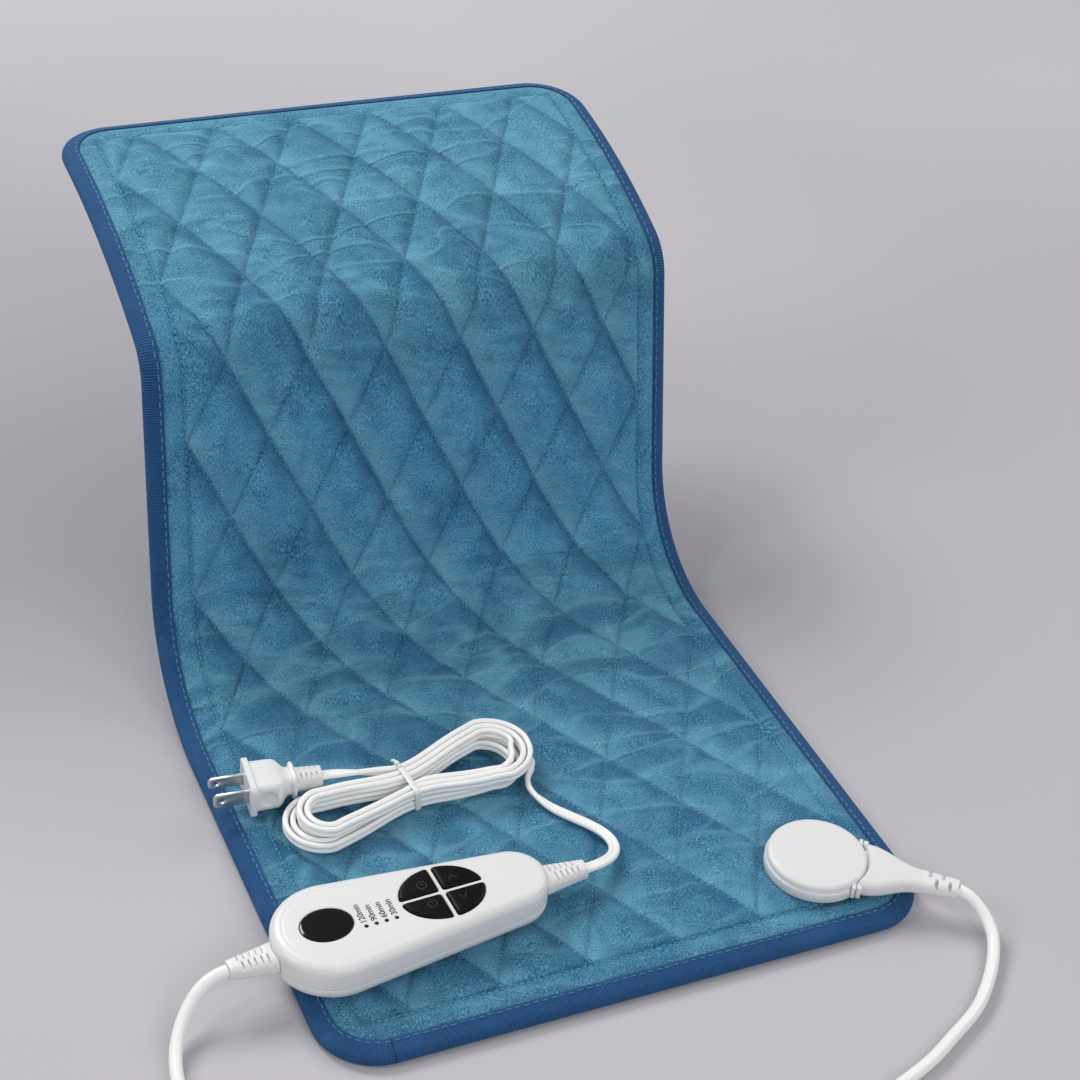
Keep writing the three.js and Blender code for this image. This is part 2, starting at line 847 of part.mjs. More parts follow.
// Low dome with a rounded rim, the mouth for the connector and an ear at each side of it
function socketCover() {
  const top = restHeight + socketHeight;
  const dome = loft([
    discRing(socketRadius - socketFootInset, restHeight),
    discRing(socketRadius, restHeight + socketFootHeight),
    discRing(socketRadius, restHeight + socketRimHeight),
    discRing(socketRadius - socketTopInset * lowRimShare, top - socketTopDrop),
    discRing(socketRadius - socketTopInset * highRimShare, top - socketTopDrop * highRimShare ** 2),
    discRing(socketRadius - socketTopInset, top),
    discRing(socketRadius / 2, top + socketCrown),
  ]);
  const earReach = gripStart - fitGap;
  const ears = block(
    [earReach - socketEarThickness, -coverEarWidth / 2, restHeight + socketFootHeight],
    [earReach, coverEarWidth / 2, restHeight + socketFootHeight + socketEarHeight],
  );
  const mouthEnd = socketRadius - mouthDepth;
  const mouth = block(
    [mouthEnd, -mouthWidth / 2, mouthMiddle - mouthHeight / 2],
    [socketRadius + cutOverrun, mouthWidth / 2, mouthMiddle + mouthHeight / 2],
  );
  const boreTop = mouthMiddle - mouthHeight / 2 - mouthFloor;
  const wireBore = disc(neckBore, restHeight - cutOverrun, boreTop, plateSides);
  const screwBores = [-1, 1].map((side) => {
    const low = restHeight - cutOverrun;
    const bore = disc(socketScrewRadius + screwClearance, low, screwTip + seatGap, boltSides);
    bore.translate(0, side * socketScrewPitch / 2, 0);
    return bore;
  });
  return part('socket_cover', whiteGloss, cut(join(dome, ears), mouth, wireBore, ...screwBores));
}

const baseBottom = feltTop + seatGap;
const baseTop = baseBottom + baseThickness;
const screwTip = baseBottom + socketScrewLength;

// Washer under the cloth with a neck that carries the wire up through it
function socketBase() {
  const profile = [
    [neckBore, baseBottom],
    [baseRadius, baseBottom],
    [baseRadius, baseTop],
    [neckRadius, baseTop],
    [neckRadius, restHeight - seatGap],
    [neckBore, restHeight - seatGap],
    [neckBore, baseBottom],
  ].map(([radius, height]) => new THREE.Vector2(radius, height));
  const turned = new THREE.LatheGeometry(profile, plateSides);
  turned.rotateX(Math.PI / 2);
  const bores = [-1, 1].flatMap((side) => {
    const low = baseBottom - cutOverrun;
    const bore = disc(socketScrewRadius + screwClearance, low, restHeight + cutOverrun, boltSides);
    const sink = disc(socketScrewHeadRadius + screwClearance, low, screwSeat, boltSides);
    return [bore, sink].map((tool) => tool.translate(0, side * socketScrewPitch / 2, 0));
  });
  return part('socket_base', whiteCord, cut(turned, ...bores));
}

const screwSeat = baseBottom + socketScrewHeadHeight + seatGap;

function socketScrew(name, side) {
  const head = disc(socketScrewHeadRadius, baseBottom, baseBottom + socketScrewHeadHeight, boltSides);
  const shank = disc(socketScrewRadius, baseBottom, screwTip, boltSides);
  const screw = join(head, shank);
  screw.translate(0, side * socketScrewPitch / 2, 0);
  return part(name, nickel, screw);
}

function socketContact(name, place) {
  const pin = new THREE.CapsuleGeometry(contactRadius, contactLength - 2 * contactRadius, 3, pegSides);
  pin.rotateZ(Math.PI / 2);
  const pinMiddle = socketRadius - mouthDepth + seatGap + contactLength / 2;
  pin.translate(pinMiddle, place * contactPitch, mouthMiddle);
  return part(name, nickel, pin);
}

// Flat grip that wraps the socket's rim, with ears, a tongue for the mouth and a bore for each contact
function connectorBody() {
  const bottom = restHeight;
  const height = socketHeight;
  const narrowing = (share) => {
    const past = Math.max(share - gripEvenShare, 0) / (1 - gripEvenShare);
    return (1 - Math.cos(Math.PI * past)) / 2;
  };
  const start = gripStart;
  const rings = gripShares.map((share) => {
    const x = start + share * (connectorLength - start);
    const width = connectorRootWidth + (connectorTipWidth - connectorRootWidth) * narrowing(share);
    const tall = height + (connectorTipHeight - height) * narrowing(share);
    const section = roundedSection(x, width, tall, tall * gripEdgeShare, 3);
    return section.map((point) => point.setZ(point.z + bottom + height / 2));
  });
  const ears = block(
    [start, -socketEarWidth / 2, bottom + socketFootHeight],
    [start + socketEarThickness, socketEarWidth / 2, bottom + socketFootHeight + socketEarHeight],
  );
  const rim = disc(seamRadius, bottom - cutOverrun, bottom + height + cutOverrun, socketSides);
  const tongue = block(
    [socketRadius - tongueDepth, -mouthWidth / 2 + fitGap, mouthMiddle - mouthHeight / 2 + fitGap],
    [(connectorLength + gripStart) / 2, mouthWidth / 2 - fitGap, mouthMiddle + mouthHeight / 2 - fitGap],
  );
  const bores = [-1, 0, 1].map((place) => {
    const depth = contactBoreEnd - (socketRadius - tongueDepth) + cutOverrun;
    const bore = disc(contactSocketRadius, 0, depth, boltSides);
    bore.rotateY(Math.PI / 2);
    bore.translate(socketRadius - tongueDepth - cutOverrun, place * contactPitch, mouthMiddle);
    return bore;
  });
  const shaped = join(cut(join(loft(rings), ears), rim), tongue);
  return part('connector_body', whiteGloss, cut(shaped, ...bores));
}

const contactBoreEnd = socketRadius + contactRadius;

// Metal end of each conductor at the bottom of its bore in the connector
function connectorContact(name, place) {
  const outer = contactSocketRadius - fitGap;
  const start = contactBoreEnd - seatGap - contactSleeveLength;
  const pin = disc(outer, 0, contactSleeveLength, boltSides);
  pin.rotateY(Math.PI / 2);
  pin.translate(start, place * contactPitch, mouthMiddle);
  return part(name, nickel, pin);
}

const contactSleeveLength = 6;

// Boot: a tapered rod with slots from alternate sides, closed by the piece that it leaves
function taperedBoot({ length, root, tip, radius, center, slots }) {
  const ringAt = (share) => {
    const width = root.width + (tip.width - root.width) * share;
    const height = root.height + (tip.height - root.height) * share;
    return roundedSection(share * length, width, height, radius, 2);
  };
  const rod = loft([ringAt(0), ringAt(1)]);
  const tools = [];
  for (let slot = 0; slot < slots.count; slot += 1) {
    const x = slots.start + slot * slots.pitch;
    const share = x / length;
    const halfWidth = (root.width + (tip.width - root.width) * share) / 2;
    const halfHeight = (root.height + (tip.height - root.height) * share) / 2;
    const side = slot % 2 === 0 ? 1 : -1;
    const reach = halfWidth + cutOverrun;
    tools.push(block(
      [x - slots.width / 2, side > 0 ? 0 : -reach, halfHeight - slots.depth],
      [x + slots.width / 2, side > 0 ? reach : 0, halfHeight + cutOverrun],
    ));
    tools.push(block(
      [x - slots.width / 2, side > 0 ? 0 : -reach, -halfHeight - cutOverrun],
      [x + slots.width / 2, side > 0 ? reach : 0, slots.depth - halfHeight],
    ));
    tools.push(block(
      [x + slots.pitch / 2 - slots.width / 2, halfWidth - slots.depth, -halfHeight / 2],
      [x + slots.pitch / 2 + slots.width / 2, halfWidth + cutOverrun, halfHeight / 2],
    ));
    tools.push(block(
      [x + slots.pitch / 2 - slots.width / 2, -halfWidth - cutOverrun, -halfHeight / 2],
      [x + slots.pitch / 2 + slots.width / 2, slots.depth - halfWidth, halfHeight / 2],
    ));
  }
  const made = cut(rod, ...tools);
  made.translate(0, 0, center);
  return made;
}

function connectorStrainRelief() {
  const boot = taperedBoot({
    length: connectorReliefLength,
    root: { width: connectorTipWidth - fitGap, height: connectorTipHeight - fitGap },
    tip: { width: connectorReliefTipWidth, height: connectorReliefTipHeight },
    radius: bootEdgeRadius,
    center: restHeight + socketHeight / 2,
    slots: {
      start: connectorReliefLength * bootSlotRootShare,
      pitch: bootSlotPitch,
      count: connectorSlotCount,
      width: bootSlotWidth,
      depth: bootSlotDepth,
    },
  });
  boot.translate(connectorLength + seatGap, 0, 0);
  return part('connector_strain_relief', whiteCord, boot);
}

// Controller, modelled along X with its underside at zero

const wideArcSteps = 16;
const slimArcSteps = 10;
const tangentTurn = Math.acos((wideEndRadius - slimEndRadius) / (slimEndX - wideEndX));

// Outline of two unlike circles and the straight lines that touch both, moved in by inset
function controllerRing(inset, height) {
  const ring = [];
  const arc = (x, radius, from, to, steps) => {
    for (let step = 0; step <= steps; step += 1) {
      const turn = from + (to - from) * step / steps;
      ring.push(new THREE.Vector3(
        x + (radius - inset) * Math.cos(turn),
        (radius - inset) * Math.sin(turn),
        height,
      ));
    }
  };
  arc(wideEndX, wideEndRadius, tangentTurn, 2 * Math.PI - tangentTurn, wideArcSteps);
  arc(slimEndX, slimEndRadius, -tangentTurn, tangentTurn, slimArcSteps);
  return ring;
}

function screwPlaces() {
  return [
    { name: 'shell_screw_wide_left', x: wideScrewX, y: wideScrewY },
    { name: 'shell_screw_wide_right', x: wideScrewX, y: -wideScrewY },
    { name: 'shell_screw_slim_left', x: slimScrewX, y: slimScrewY },
    { name: 'shell_screw_slim_right', x: slimScrewX, y: -slimScrewY },
  ];
}

function ellipseShape(x, y, halfLength, halfWidth) {
  const shape = new THREE.Shape();
  shape.absellipse(x, y, halfLength, halfWidth, 0, 2 * Math.PI, false, 0);
  return shape;
}

// A quarter of the keys' oval: cross gap on two sides, oval on the third, corners rounded
function keyShape(sideX, sideY, grow) {
  const gap = keyCrossGap / 2 - grow;
  const halfLength = keysHalfLength + grow;
  const halfWidth = keysHalfWidth + grow;
  const firstTurn = Math.asin((gap + keyCornerRadius) / halfWidth);
  const lastTurn = Math.acos((gap + keyCornerRadius) / halfLength);
  const place = (x, y) => [keysX + sideX * x, keysY + sideY * y];
  const shape = new THREE.Shape();
  shape.moveTo(...place(gap + keyCornerRadius, gap));
  const flatEnd = halfLength * Math.cos(firstTurn) - keyCornerRadius / 2;
  shape.lineTo(...place(flatEnd, gap));
  for (let step = 0; step <= keyArcSteps; step += 1) {
    const turn = firstTurn + (lastTurn - firstTurn) * step / keyArcSteps;
    shape.lineTo(...place(halfLength * Math.cos(turn), halfWidth * Math.sin(turn)));
  }
  shape.lineTo(...place(gap, halfWidth * Math.sin(lastTurn) - keyCornerRadius / 2));
  shape.lineTo(...place(gap, gap + keyCornerRadius));
  shape.quadraticCurveTo(...place(gap, gap), ...place(gap + keyCornerRadius, gap));
  return shape;
}

const keySides = [
  { name: 'button_power', sideX: -1, sideY: -1 },
  { name: 'button_timer', sideX: -1, sideY: 1 },
  { name: 'button_heat_up', sideX: 1, sideY: 1 },
  { name: 'button_heat_down', sideX: 1, sideY: -1 },
];

// Housing's outside at wall 0, and its hollow at the wall's thickness
function controllerForm(wall) {
  const top = controllerHeight - wall;
  const foot = Math.max(wall, 0);
  const edge = topEdgeInset * (wall > 0 ? hollowEdgeShare : 1);
  return loft([
    controllerRing(footInset + wall, foot),
    controllerRing(footInset * footEdgeShare + wall, foot + footHeight * footEdgeShare),
    controllerRing(wall, foot + footHeight),
    controllerRing(wall, top - topEdgeDrop),
    controllerRing(wall + edge * lowEdge.inShare, top - topEdgeDrop * lowEdge.downShare),
    controllerRing(wall + edge * highEdge.inShare, top - topEdgeDrop * highEdge.downShare),
    controllerRing(wall + edge, top),
  ]);
}

// Neck and openings that the two boots pass through
function bootOpenings() {
  return [-1, 1].map((side) => {
    const endX = side > 0 ? slimEndX + slimEndRadius : wideEndX - wideEndRadius;
    const low = endX - (side > 0 ? bootFlangeDepth : cutOverrun);
    const high = endX + (side > 0 ? cutOverrun : bootFlangeDepth);
    return block(
      [low, -bootNeckWidth / 2 - fitGap, bootCenterHeight - bootNeckHeight / 2 - fitGap],
      [high, bootNeckWidth / 2 + fitGap, bootCenterHeight + bootNeckHeight / 2 + fitGap],
    );
  });
}

function bottomShell() {
  const above = block(
    [wideEndX - 2 * wideEndRadius, -2 * wideEndRadius, partingHeight - seatGap / 2],
    [slimEndX + 2 * wideEndRadius, 2 * wideEndRadius, 2 * controllerHeight],
  );
  const outside = cut(controllerForm(0), above);
  const hollow = cut(controllerForm(shellWall), above);
  let shell = cut(outside, hollow, ...bootOpenings());
  for (const { x, y } of screwPlaces()) {
    const boss = upright(bossRadius, shellWall / 2, boardBottom - seatGap, boltSides);
    boss.translate(x, y, 0);
    shell = join(shell, boss);
  }
  const bores = screwPlaces().flatMap(({ x, y }) => {
    const bore = upright(screwRadius + screwClearance, -cutOverrun, boardBottom + cutOverrun, pegSides);
    const sinkTop = screwHeadDepth + seatGap;
    const sink = upright(screwHeadRadius + screwClearance, -cutOverrun, sinkTop, boltSides);
    return [bore, sink].map((tool) => tool.translate(x, y, 0));
  });
  return part('controller_bottom_shell', whiteGloss, cut(shell, ...bores));
}

function topShell() {
  const below = block(
    [wideEndX - 2 * wideEndRadius, -2 * wideEndRadius, -controllerHeight],
    [slimEndX + 2 * wideEndRadius, 2 * wideEndRadius, partingHeight + seatGap / 2],
  );
  const outside = cut(controllerForm(0), below);
  const hollow = cut(controllerForm(shellWall), below);
  let shell = cut(outside, hollow, ...bootOpenings());
  for (const { x, y } of screwPlaces()) {
    const post = upright(bossRadius, boardTop + seatGap, controllerHeight - shellWall / 2, boltSides);
    post.translate(x, y, 0);
    const within = solidOf(post).intersect(solidOf(controllerForm(0)));
    shell = join(shell, geometryOf(within));
  }
  const screwBores = screwPlaces().map(({ x, y }) => {
    const bore = upright(screwRadius + screwClearance, boardBottom, screwEnd + seatGap, pegSides);
    return bore.translate(x, y, 0);
  });
  const faceBottom = faceUnderside - cutOverrun;
  const faceTop = controllerHeight + cutOverrun;
  const windowShape = ellipseShape(
    displayX, displayY, displayHalfLength + fitGap, displayHalfWidth + fitGap,
  );
  const displayWindow = prism(windowShape, faceBottom, faceTop, ovalSegments);
  const keyWindows = keySides.map(({ sideX, sideY }) => (
    prism(keyShape(sideX, sideY, fitGap), faceBottom, faceTop, 3)
  ));
  const lightHoles = Array.from({ length: lightCount }, (_, light) => (
    upright(lightHoleRadius, faceBottom, faceTop, pegSides).translate(lightPlace(light), lightY, 0)
  ));
  shell = cut(shell, ...screwBores, displayWindow, ...keyWindows, ...lightHoles);
  return part('controller_top_shell', whiteGloss, shell);
}

const screwEnd = screwHeadDepth - screwHeadHeight + screwLength;

function shellScrew({ name, x, y }) {
  const headBottom = screwHeadDepth - screwHeadHeight;
  const head = upright(screwHeadRadius, headBottom, screwHeadDepth, boltSides);
  const shank = upright(screwRadius, headBottom, screwEnd, pegSides);
  return part(name, nickel, join(head, shank).translate(x, y, 0));
}

function circuitBoard() {
  const board = loft([controllerRing(boardInset, boardBottom), controllerRing(boardInset, boardTop)]);
  const holes = screwPlaces().map(({ x, y }) => (
    upright(screwRadius + 2 * screwClearance, boardBottom - cutOverrun, boardTop + cutOverrun, pegSides)
      .translate(x, y, 0)
  ));
  const bootRoom = [-1, 1].map((side) => {
    const endX = side > 0 ? slimEndX + slimEndRadius : wideEndX - wideEndRadius;
    const deep = bootFlangeDepth + bootFlangeThickness + seatGap;
    const half = bootFlangeWidth / 2 + seatGap;
    return block(
      [endX - (side > 0 ? deep : cutOverrun), -half, boardBottom - cutOverrun],
      [endX + (side > 0 ? cutOverrun : deep), half, boardTop + cutOverrun],
    );
  });
  return part('circuit_board', greenBoard, cut(board, ...holes, ...bootRoom));
}

function lightPlace(light) {
  return lightFirstX + light * lightPitch;
}

// Oval window with a flange that is held under the face
function displayLens() {
  const flangeTop = faceUnderside - seatGap;
  const flangeBottom = flangeTop - lensFlangeThickness;
  const windowShape = ellipseShape(displayX, displayY, displayHalfLength, displayHalfWidth);
  const window = prism(windowShape, flangeBottom, controllerHeight, ovalSegments);
  const flange = prism(
    ellipseShape(displayX, displayY, displayHalfLength + lensFlange, displayHalfWidth + lensFlange),
    flangeBottom, flangeTop, ovalSegments,
  );
  return part('display_lens', blackGloss, join(window, flange));
}

function displayModule() {
  const top = faceUnderside - 2 * seatGap - lensFlangeThickness;
  const bottom = boardTop + seatGap;
  const face = block(
    [displayX - displayModuleLength / 2, displayY - displayModuleWidth / 2, top - displayModuleHeight],
    [displayX + displayModuleLength / 2, displayY + displayModuleWidth / 2, top],
  );
  const legWidth = displayModuleWidth / 3;
  const leg = block(
    [displayX - displayModuleLength / 2, displayY - legWidth / 2, bottom],
    [displayX + displayModuleLength / 2, displayY + legWidth / 2, top],
  );
  return part('display_module', darkPart, join(face, leg));
}

function keyButton({ name, sideX, sideY }) {
  const flangeTop = faceUnderside - seatGap;
  const flangeBottom = flangeTop - keyFlangeThickness;
  const cap = prism(keyShape(sideX, sideY, 0), flangeBottom, controllerHeight + keyProud, 3);
  const flange = prism(keyShape(sideX, sideY, keyFlange), flangeBottom, flangeTop, 3);
  const stemBottom = boardTop + seatGap + switchHeight + keyTravel + seatGap;
  const stem = upright(keyStemRadius, stemBottom, flangeTop, pegSides);
  stem.translate(...keyStemPlace(sideX, sideY), 0);
  return part(name, blackKey, join(cap, flange, stem));
}

function keyStemPlace(sideX, sideY) {
  return [keysX + sideX * keysHalfLength * keyStemShareX, keysY + sideY * keysHalfWidth * keyStemShareY];
}

function keySwitch({ name, sideX, sideY }) {
  const [x, y] = keyStemPlace(sideX, sideY);
  const bottom = boardTop + seatGap;
  const bodyTop = bottom + switchHeight * switchBodyShare;
  const body = block(
    [x - switchSide / 2, y - switchSide / 2, bottom],
    [x + switchSide / 2, y + switchSide / 2, bodyTop],
  );
  const plunger = upright(keyStemRadius * switchBodyShare, bottom, bottom + switchHeight, pegSides);
  plunger.translate(x, y, 0);
  return part(name.replace('button', 'key_switch'), darkPart, join(body, plunger));
}

const switchBodyShare = 0.8;

// One clear moulding: a bar on the board with a light pipe for each lamp
function lightGuide() {
  const bottom = boardTop + seatGap;
  const bar = block(
    [lightFirstX - lightBarWidth / 2, lightY - lightBarWidth / 2, bottom],
    [lightPlace(lightCount - 1) + lightBarWidth / 2, lightY + lightBarWidth / 2, bottom + lightBarHeight],
  );
  const pipes = Array.from({ length: lightCount }, (_, light) => (
    upright(lightRadius, bottom, controllerHeight - seatGap / 2, pipeSides)
      .translate(lightPlace(light), lightY, 0)
  ));
  return part('light_guide', clearGuide, join(bar, ...pipes));
}

function powerTriac() {
  const bottom = boardTop + seatGap;
  const body = block(
    [triacX - triacWidth / 2, -triacLength / 2, bottom],
    [triacX + triacWidth / 2, triacLength / 2, bottom + triacHeight * triacBodyShare],
  );
  const tab = block(
    [triacX - triacWidth / 2, -triacLength / 2, bottom],
    [triacX - triacWidth / 2 + triacTabThickness, triacLength / 2, bottom + triacHeight],
  );
  return part('power_triac', darkPart, join(body, tab));
}

const triacBodyShare = 0.65;

function lineFuse() {
  const tube = new THREE.CylinderGeometry(fuseRadius, fuseRadius, fuseLength, boltSides);
  tube.rotateZ(Math.PI / 2);
  tube.translate(fuseX, fuseY, boardTop + seatGap + fuseRadius);
  return part('line_fuse', clearGuide, tube);
}

function filterCapacitor() {
  const bottom = boardTop + seatGap;
  return part('filter_capacitor', darkPart, block(
    [capacitorX - capacitorLength / 2, capacitorY - capacitorWidth / 2, bottom],
    [capacitorX + capacitorLength / 2, capacitorY + capacitorWidth / 2, bottom + capacitorHeight],
  ));
}

// Slotted boot, its root cut to the housing's round end, with a neck and a flange inside the wall
function controllerBoot(name, side) {
  const endX = side > 0 ? slimEndX + slimEndRadius : wideEndX - wideEndRadius;
  const boot = taperedBoot({
    length: bootLength,
    root: { width: bootRootWidth, height: bootRootHeight },
    tip: { width: bootTipWidth, height: bootTipHeight },
    radius: bootEdgeRadius,
    center: 0,
    slots: {
      start: bootLength * bootSlotRootShare,
      pitch: bootSlotPitch,
      count: bootSlotCount,
      width: bootSlotWidth,
      depth: bootSlotDepth,
    },
  });
  const root = loft([
    roundedSection(-bootFlangeDepth, bootRootWidth, bootRootHeight, bootEdgeRadius, 2),
    roundedSection(0, bootRootWidth, bootRootHeight, bootEdgeRadius, 2),
  ]);
  const outer = join(boot, root);
  outer.translate(0, 0, bootCenterHeight);
  outer.rotateZ(side > 0 ? 0 : Math.PI);
  outer.translate(endX, 0, 0);
  const trimmed = cut(outer, controllerForm(-seatGap));
  const neckInner = bootFlangeDepth + bootFlangeThickness / 2;
  const neck = block(
    [-neckInner, -bootNeckWidth / 2, bootCenterHeight - bootNeckHeight / 2],
    [bootSlotWidth, bootNeckWidth / 2, bootCenterHeight + bootNeckHeight / 2],
  );
  const flange = block(
    [-bootFlangeDepth - bootFlangeThickness, -bootFlangeWidth / 2, bootCenterHeight - bootFlangeHeight / 2],
    [-bootFlangeDepth, bootFlangeWidth / 2, bootCenterHeight + bootFlangeHeight / 2],
  );
  const inside = join(neck, flange);
  inside.rotateZ(side > 0 ? 0 : Math.PI);
  inside.translate(endX, 0, 0);
  return part(name, whiteCord, join(trimmed, inside));
}

// Cords

const upAxis = new THREE.Vector3(0, 0, 1);

// Section of the flat twin cord, as shares of its half width and half thickness
const flatShares = [
  [1, 0.5], [0.55, 1], [-0.55, 1], [-1, 0.5],
  [-1, -0.5], [-0.55, -1], [0.55, -1], [1, -0.5],
];
const hankShares = [[1, 0.55], [0, 1], [-1, 0.55], [-1, -0.55], [0, -1], [1, -0.55]];

function cordSection(centre, heading, roll, shares) {
  const sideways = new THREE.Vector3().crossVectors(upAxis, heading).normalize();
  const upwards = new THREE.Vector3().crossVectors(heading, sideways);
  const wide = sideways.clone().multiplyScalar(Math.cos(roll)).addScaledVector(upwards, Math.sin(roll));
  const thin = new THREE.Vector3().crossVectors(heading, wide);
  return shares.map(([wideShare, thinShare]) => (
    new THREE.Vector3()
      .copy(centre)
      .addScaledVector(wide, wideShare * cordWidth / 2)
      .addScaledVector(thin, thinShare * cordThickness / 2)
  ));
}

function uprightSection(centre, heading) {
  return cordSection(centre, heading, Math.PI / 2, hankShares);
}

// Flat cord along a curve, turned from one roll to another
function flatCord(curve, steps, rollAt) {
  const rings = Array.from({ length: steps + 1 }, (_, step) => {
    const share = step / steps;
    return cordSection(curve.getPointAt(share), curve.getTangentAt(share), rollAt(share), flatShares);
  });
  return loft(rings);
}

// Hank: loops wind inwards on the lower layer, climb beside the tie and wind outwards on the upper one

const hankBottom = restHeight + tieThickness + seatGap + cordWidth / 2;
const hankStraight = hankHalfLength - hankHalfWidth;
const capSteps = 6;
const runSteps = 8;

// A loop's stations from its right end round by the far run, the left end and the near run
function loopStations() {
  const stations = [];
  const cap = (side, from, steps) => {
    for (let step = 0; step < steps; step += 1) {
      stations.push({ side, turn: from + Math.PI * step / capSteps });
    }
  };
  const run = (side, near) => {
    for (let step = 0; step < runSteps; step += 1) {
      stations.push({ along: side * (1 - 2 * step / runSteps), near, share: step / runSteps });
    }
  };
  cap(1, 0, capSteps / 2);
  run(1, false);
  cap(-1, Math.PI / 2, capSteps);
  run(-1, true);
  cap(1, -Math.PI / 2, capSteps / 2);
  return stations;
}

function hankSpot(station, inward, height) {
  const side = station.side ?? station.along;
  const halfWidth = (side < 0 ? hankLeftHalfWidth : hankHalfWidth) - inward;
  if (station.turn !== undefined) {
    const x = side * hankStraight + halfWidth * Math.cos(station.turn);
    return new THREE.Vector3(x, halfWidth * Math.sin(station.turn), height);
  }
  const x = station.along * hankStraight;
  const waist = halfWidth + inward - hankTieHalfWidth;
  const y = (station.near ? -1 : 1) * (halfWidth - waist * Math.exp(-((x / hankWaistReach) ** 2)));
  return new THREE.Vector3(x, y, height);
}

// Inward shift and climb both happen on the near run: outer part, middle and last part in turn
const shiftOutShare = 3 / 8;
const climbEndShare = 5 / 8;

function easeShare(share) {
  const held = Math.min(Math.max(share, 0), 1);
  return held * held * (3 - 2 * held);
}

function hankRoute() {
  const stations = loopStations();
  const capEnd = capSteps / 2 + runSteps + capSteps;
  const lowerLoops = hankLoopsPerLayer;
  const places = [];
  const leadIn = new THREE.Vector3(hankHalfLength, -cordWidth, hankBottom);
  places.push(leadIn, leadIn.clone().setY(-cordWidth / 2));
  for (let loop = 0; loop < 2 * lowerLoops; loop += 1) {
    const upper = loop >= lowerLoops;
    const lastLoop = loop === 2 * lowerLoops - 1;
    const steps = lastLoop ? capSteps / 2 + runSteps / 2 + 1 : stations.length;
    for (let step = 0; step < steps; step += 1) {
      const station = stations[step];
      const nearShare = station.near ? station.share : (step > capEnd ? 1 : 0);
      let place = upper ? 2 * lowerLoops - 1 - loop : loop;
      let climb = upper ? 1 : 0;
      if (loop < lowerLoops - 1) place += easeShare((nearShare - climbEndShare) / (1 - climbEndShare));
      if (upper) place -= easeShare(nearShare / shiftOutShare);
      if (loop === lowerLoops - 1) {
        climb = easeShare((nearShare - shiftOutShare) / (climbEndShare - shiftOutShare));
      }
      places.push(hankSpot(station, place * hankStep, hankBottom + hankLayerRise * climb));
    }
  }
  const last = places[places.length - 1];
  const leaving = new THREE.Vector3(-Math.cos(hankExitAngle), Math.sin(hankExitAngle), 0);
  places.push(last.clone().addScaledVector(leaving, cordWidth / 2));
  places.push(last.clone().addScaledVector(leaving, cordWidth + cordWidth / 2));
  return places;
}

function headingAt(places, index) {
  const before = places[Math.max(index - 1, 0)];
  const after = places[Math.min(index + 1, places.length - 1)];
  return new THREE.Vector3().subVectors(after, before).normalize();
}

const betweenShares = [0, 0.25, 0.5, 0.75];
const apartShare = 1 / 12;

// Smallest distance between two turns' sides, taken between points along both
function leastHankGap(places) {
  const dense = places.slice(1).flatMap((place, index) => (
    betweenShares.map((share) => new THREE.Vector3().lerpVectors(places[index], place, share))
  ));
  const apart = Math.round(dense.length * apartShare);
  let least = Infinity;
  for (let first = 0; first < dense.length; first += 1) {
    for (let second = first + apart; second < dense.length; second += 1) {
      const between = new THREE.Vector3().subVectors(dense[second], dense[first]);
      const flat = Math.hypot(between.x, between.y) - cordThickness;
      const tall = Math.abs(between.z) - cordWidth;
      least = Math.min(least, Math.max(flat, tall));
    }
  }
  return least;
}

const hankPlaces = hankRoute();
console.log(`Least gap between the turns of the hank: ${leastHankGap(hankPlaces).toFixed(2)} mm`);

function mainsCordHank() {
  const last = hankPlaces.length - 1;
  const rings = hankPlaces.map((centre, index) => {
    let heading = headingAt(hankPlaces, index);
    if (index <= 1) heading = new THREE.Vector3(0, 1, 0);
    if (index === last - 1) heading = headingAt(hankPlaces, last);
    return uprightSection(centre, heading);
  });
  return part('mains_cord_hank', whiteCord, loft(rings));
}

// Band round the waist with the twisted end of the tie at its far upper corner
function cordTie() {
  const halfWidth = hankTieHalfWidth + cordThickness / 2 + tieRoom;
  const bottom = restHeight;
  const top = hankBottom + hankLayerRise + cordWidth / 2 + seatGap + tieThickness;
  const opening = (grow) => {
    const shape = new THREE.Shape();
    const half = halfWidth + grow;
    const low = bottom + tieThickness - grow;
    const high = top - tieThickness + grow;
    const radius = tieCornerRadius;
    shape.moveTo(-half + radius, low);
    shape.lineTo(half - radius, low);
    shape.absarc(half - radius, low + radius, radius, -Math.PI / 2, 0, false);
    shape.absarc(half - radius, high - radius, radius, 0, Math.PI / 2, false);
    shape.absarc(radius - half, high - radius, radius, Math.PI / 2, Math.PI, false);
    shape.absarc(radius - half, low + radius, radius, -Math.PI, -Math.PI / 2, false);
    return shape;
  };
  const outer = opening(tieThickness);
  outer.holes.push(opening(0));
  const band = prism(outer, -tieWidth / 2, tieWidth / 2, 3);
  band.rotateX(Math.PI / 2);
  band.rotateZ(Math.PI / 2);
  const twist = new THREE.CapsuleGeometry(tieKnotRadius, tieKnotLength, 3, pipeSides);
  twist.translate(0, halfWidth - tieKnotLength / 2, top);
  const room = block(
    [-tieWidth, -halfWidth, bottom],
    [tieWidth, halfWidth, top - tieThickness / 2],
  );
  return part('cord_tie', whiteCord, join(band, cut(twist, room)));
}

function hankToPad(point) {
  return point.clone().applyAxisAngle(upAxis, hankAngle).add(new THREE.Vector3(hankAcross, hankBack, 0));
}

function points(list) {
  return list.map(([x, y, z]) => new THREE.Vector3(x, y, z));
}

// Place in the pad's frame of a spot on a turned piece
function turnedPlace(across, back, angle, x, height) {
  return new THREE.Vector3(across + x * Math.cos(angle), back + x * Math.sin(angle), height);
}

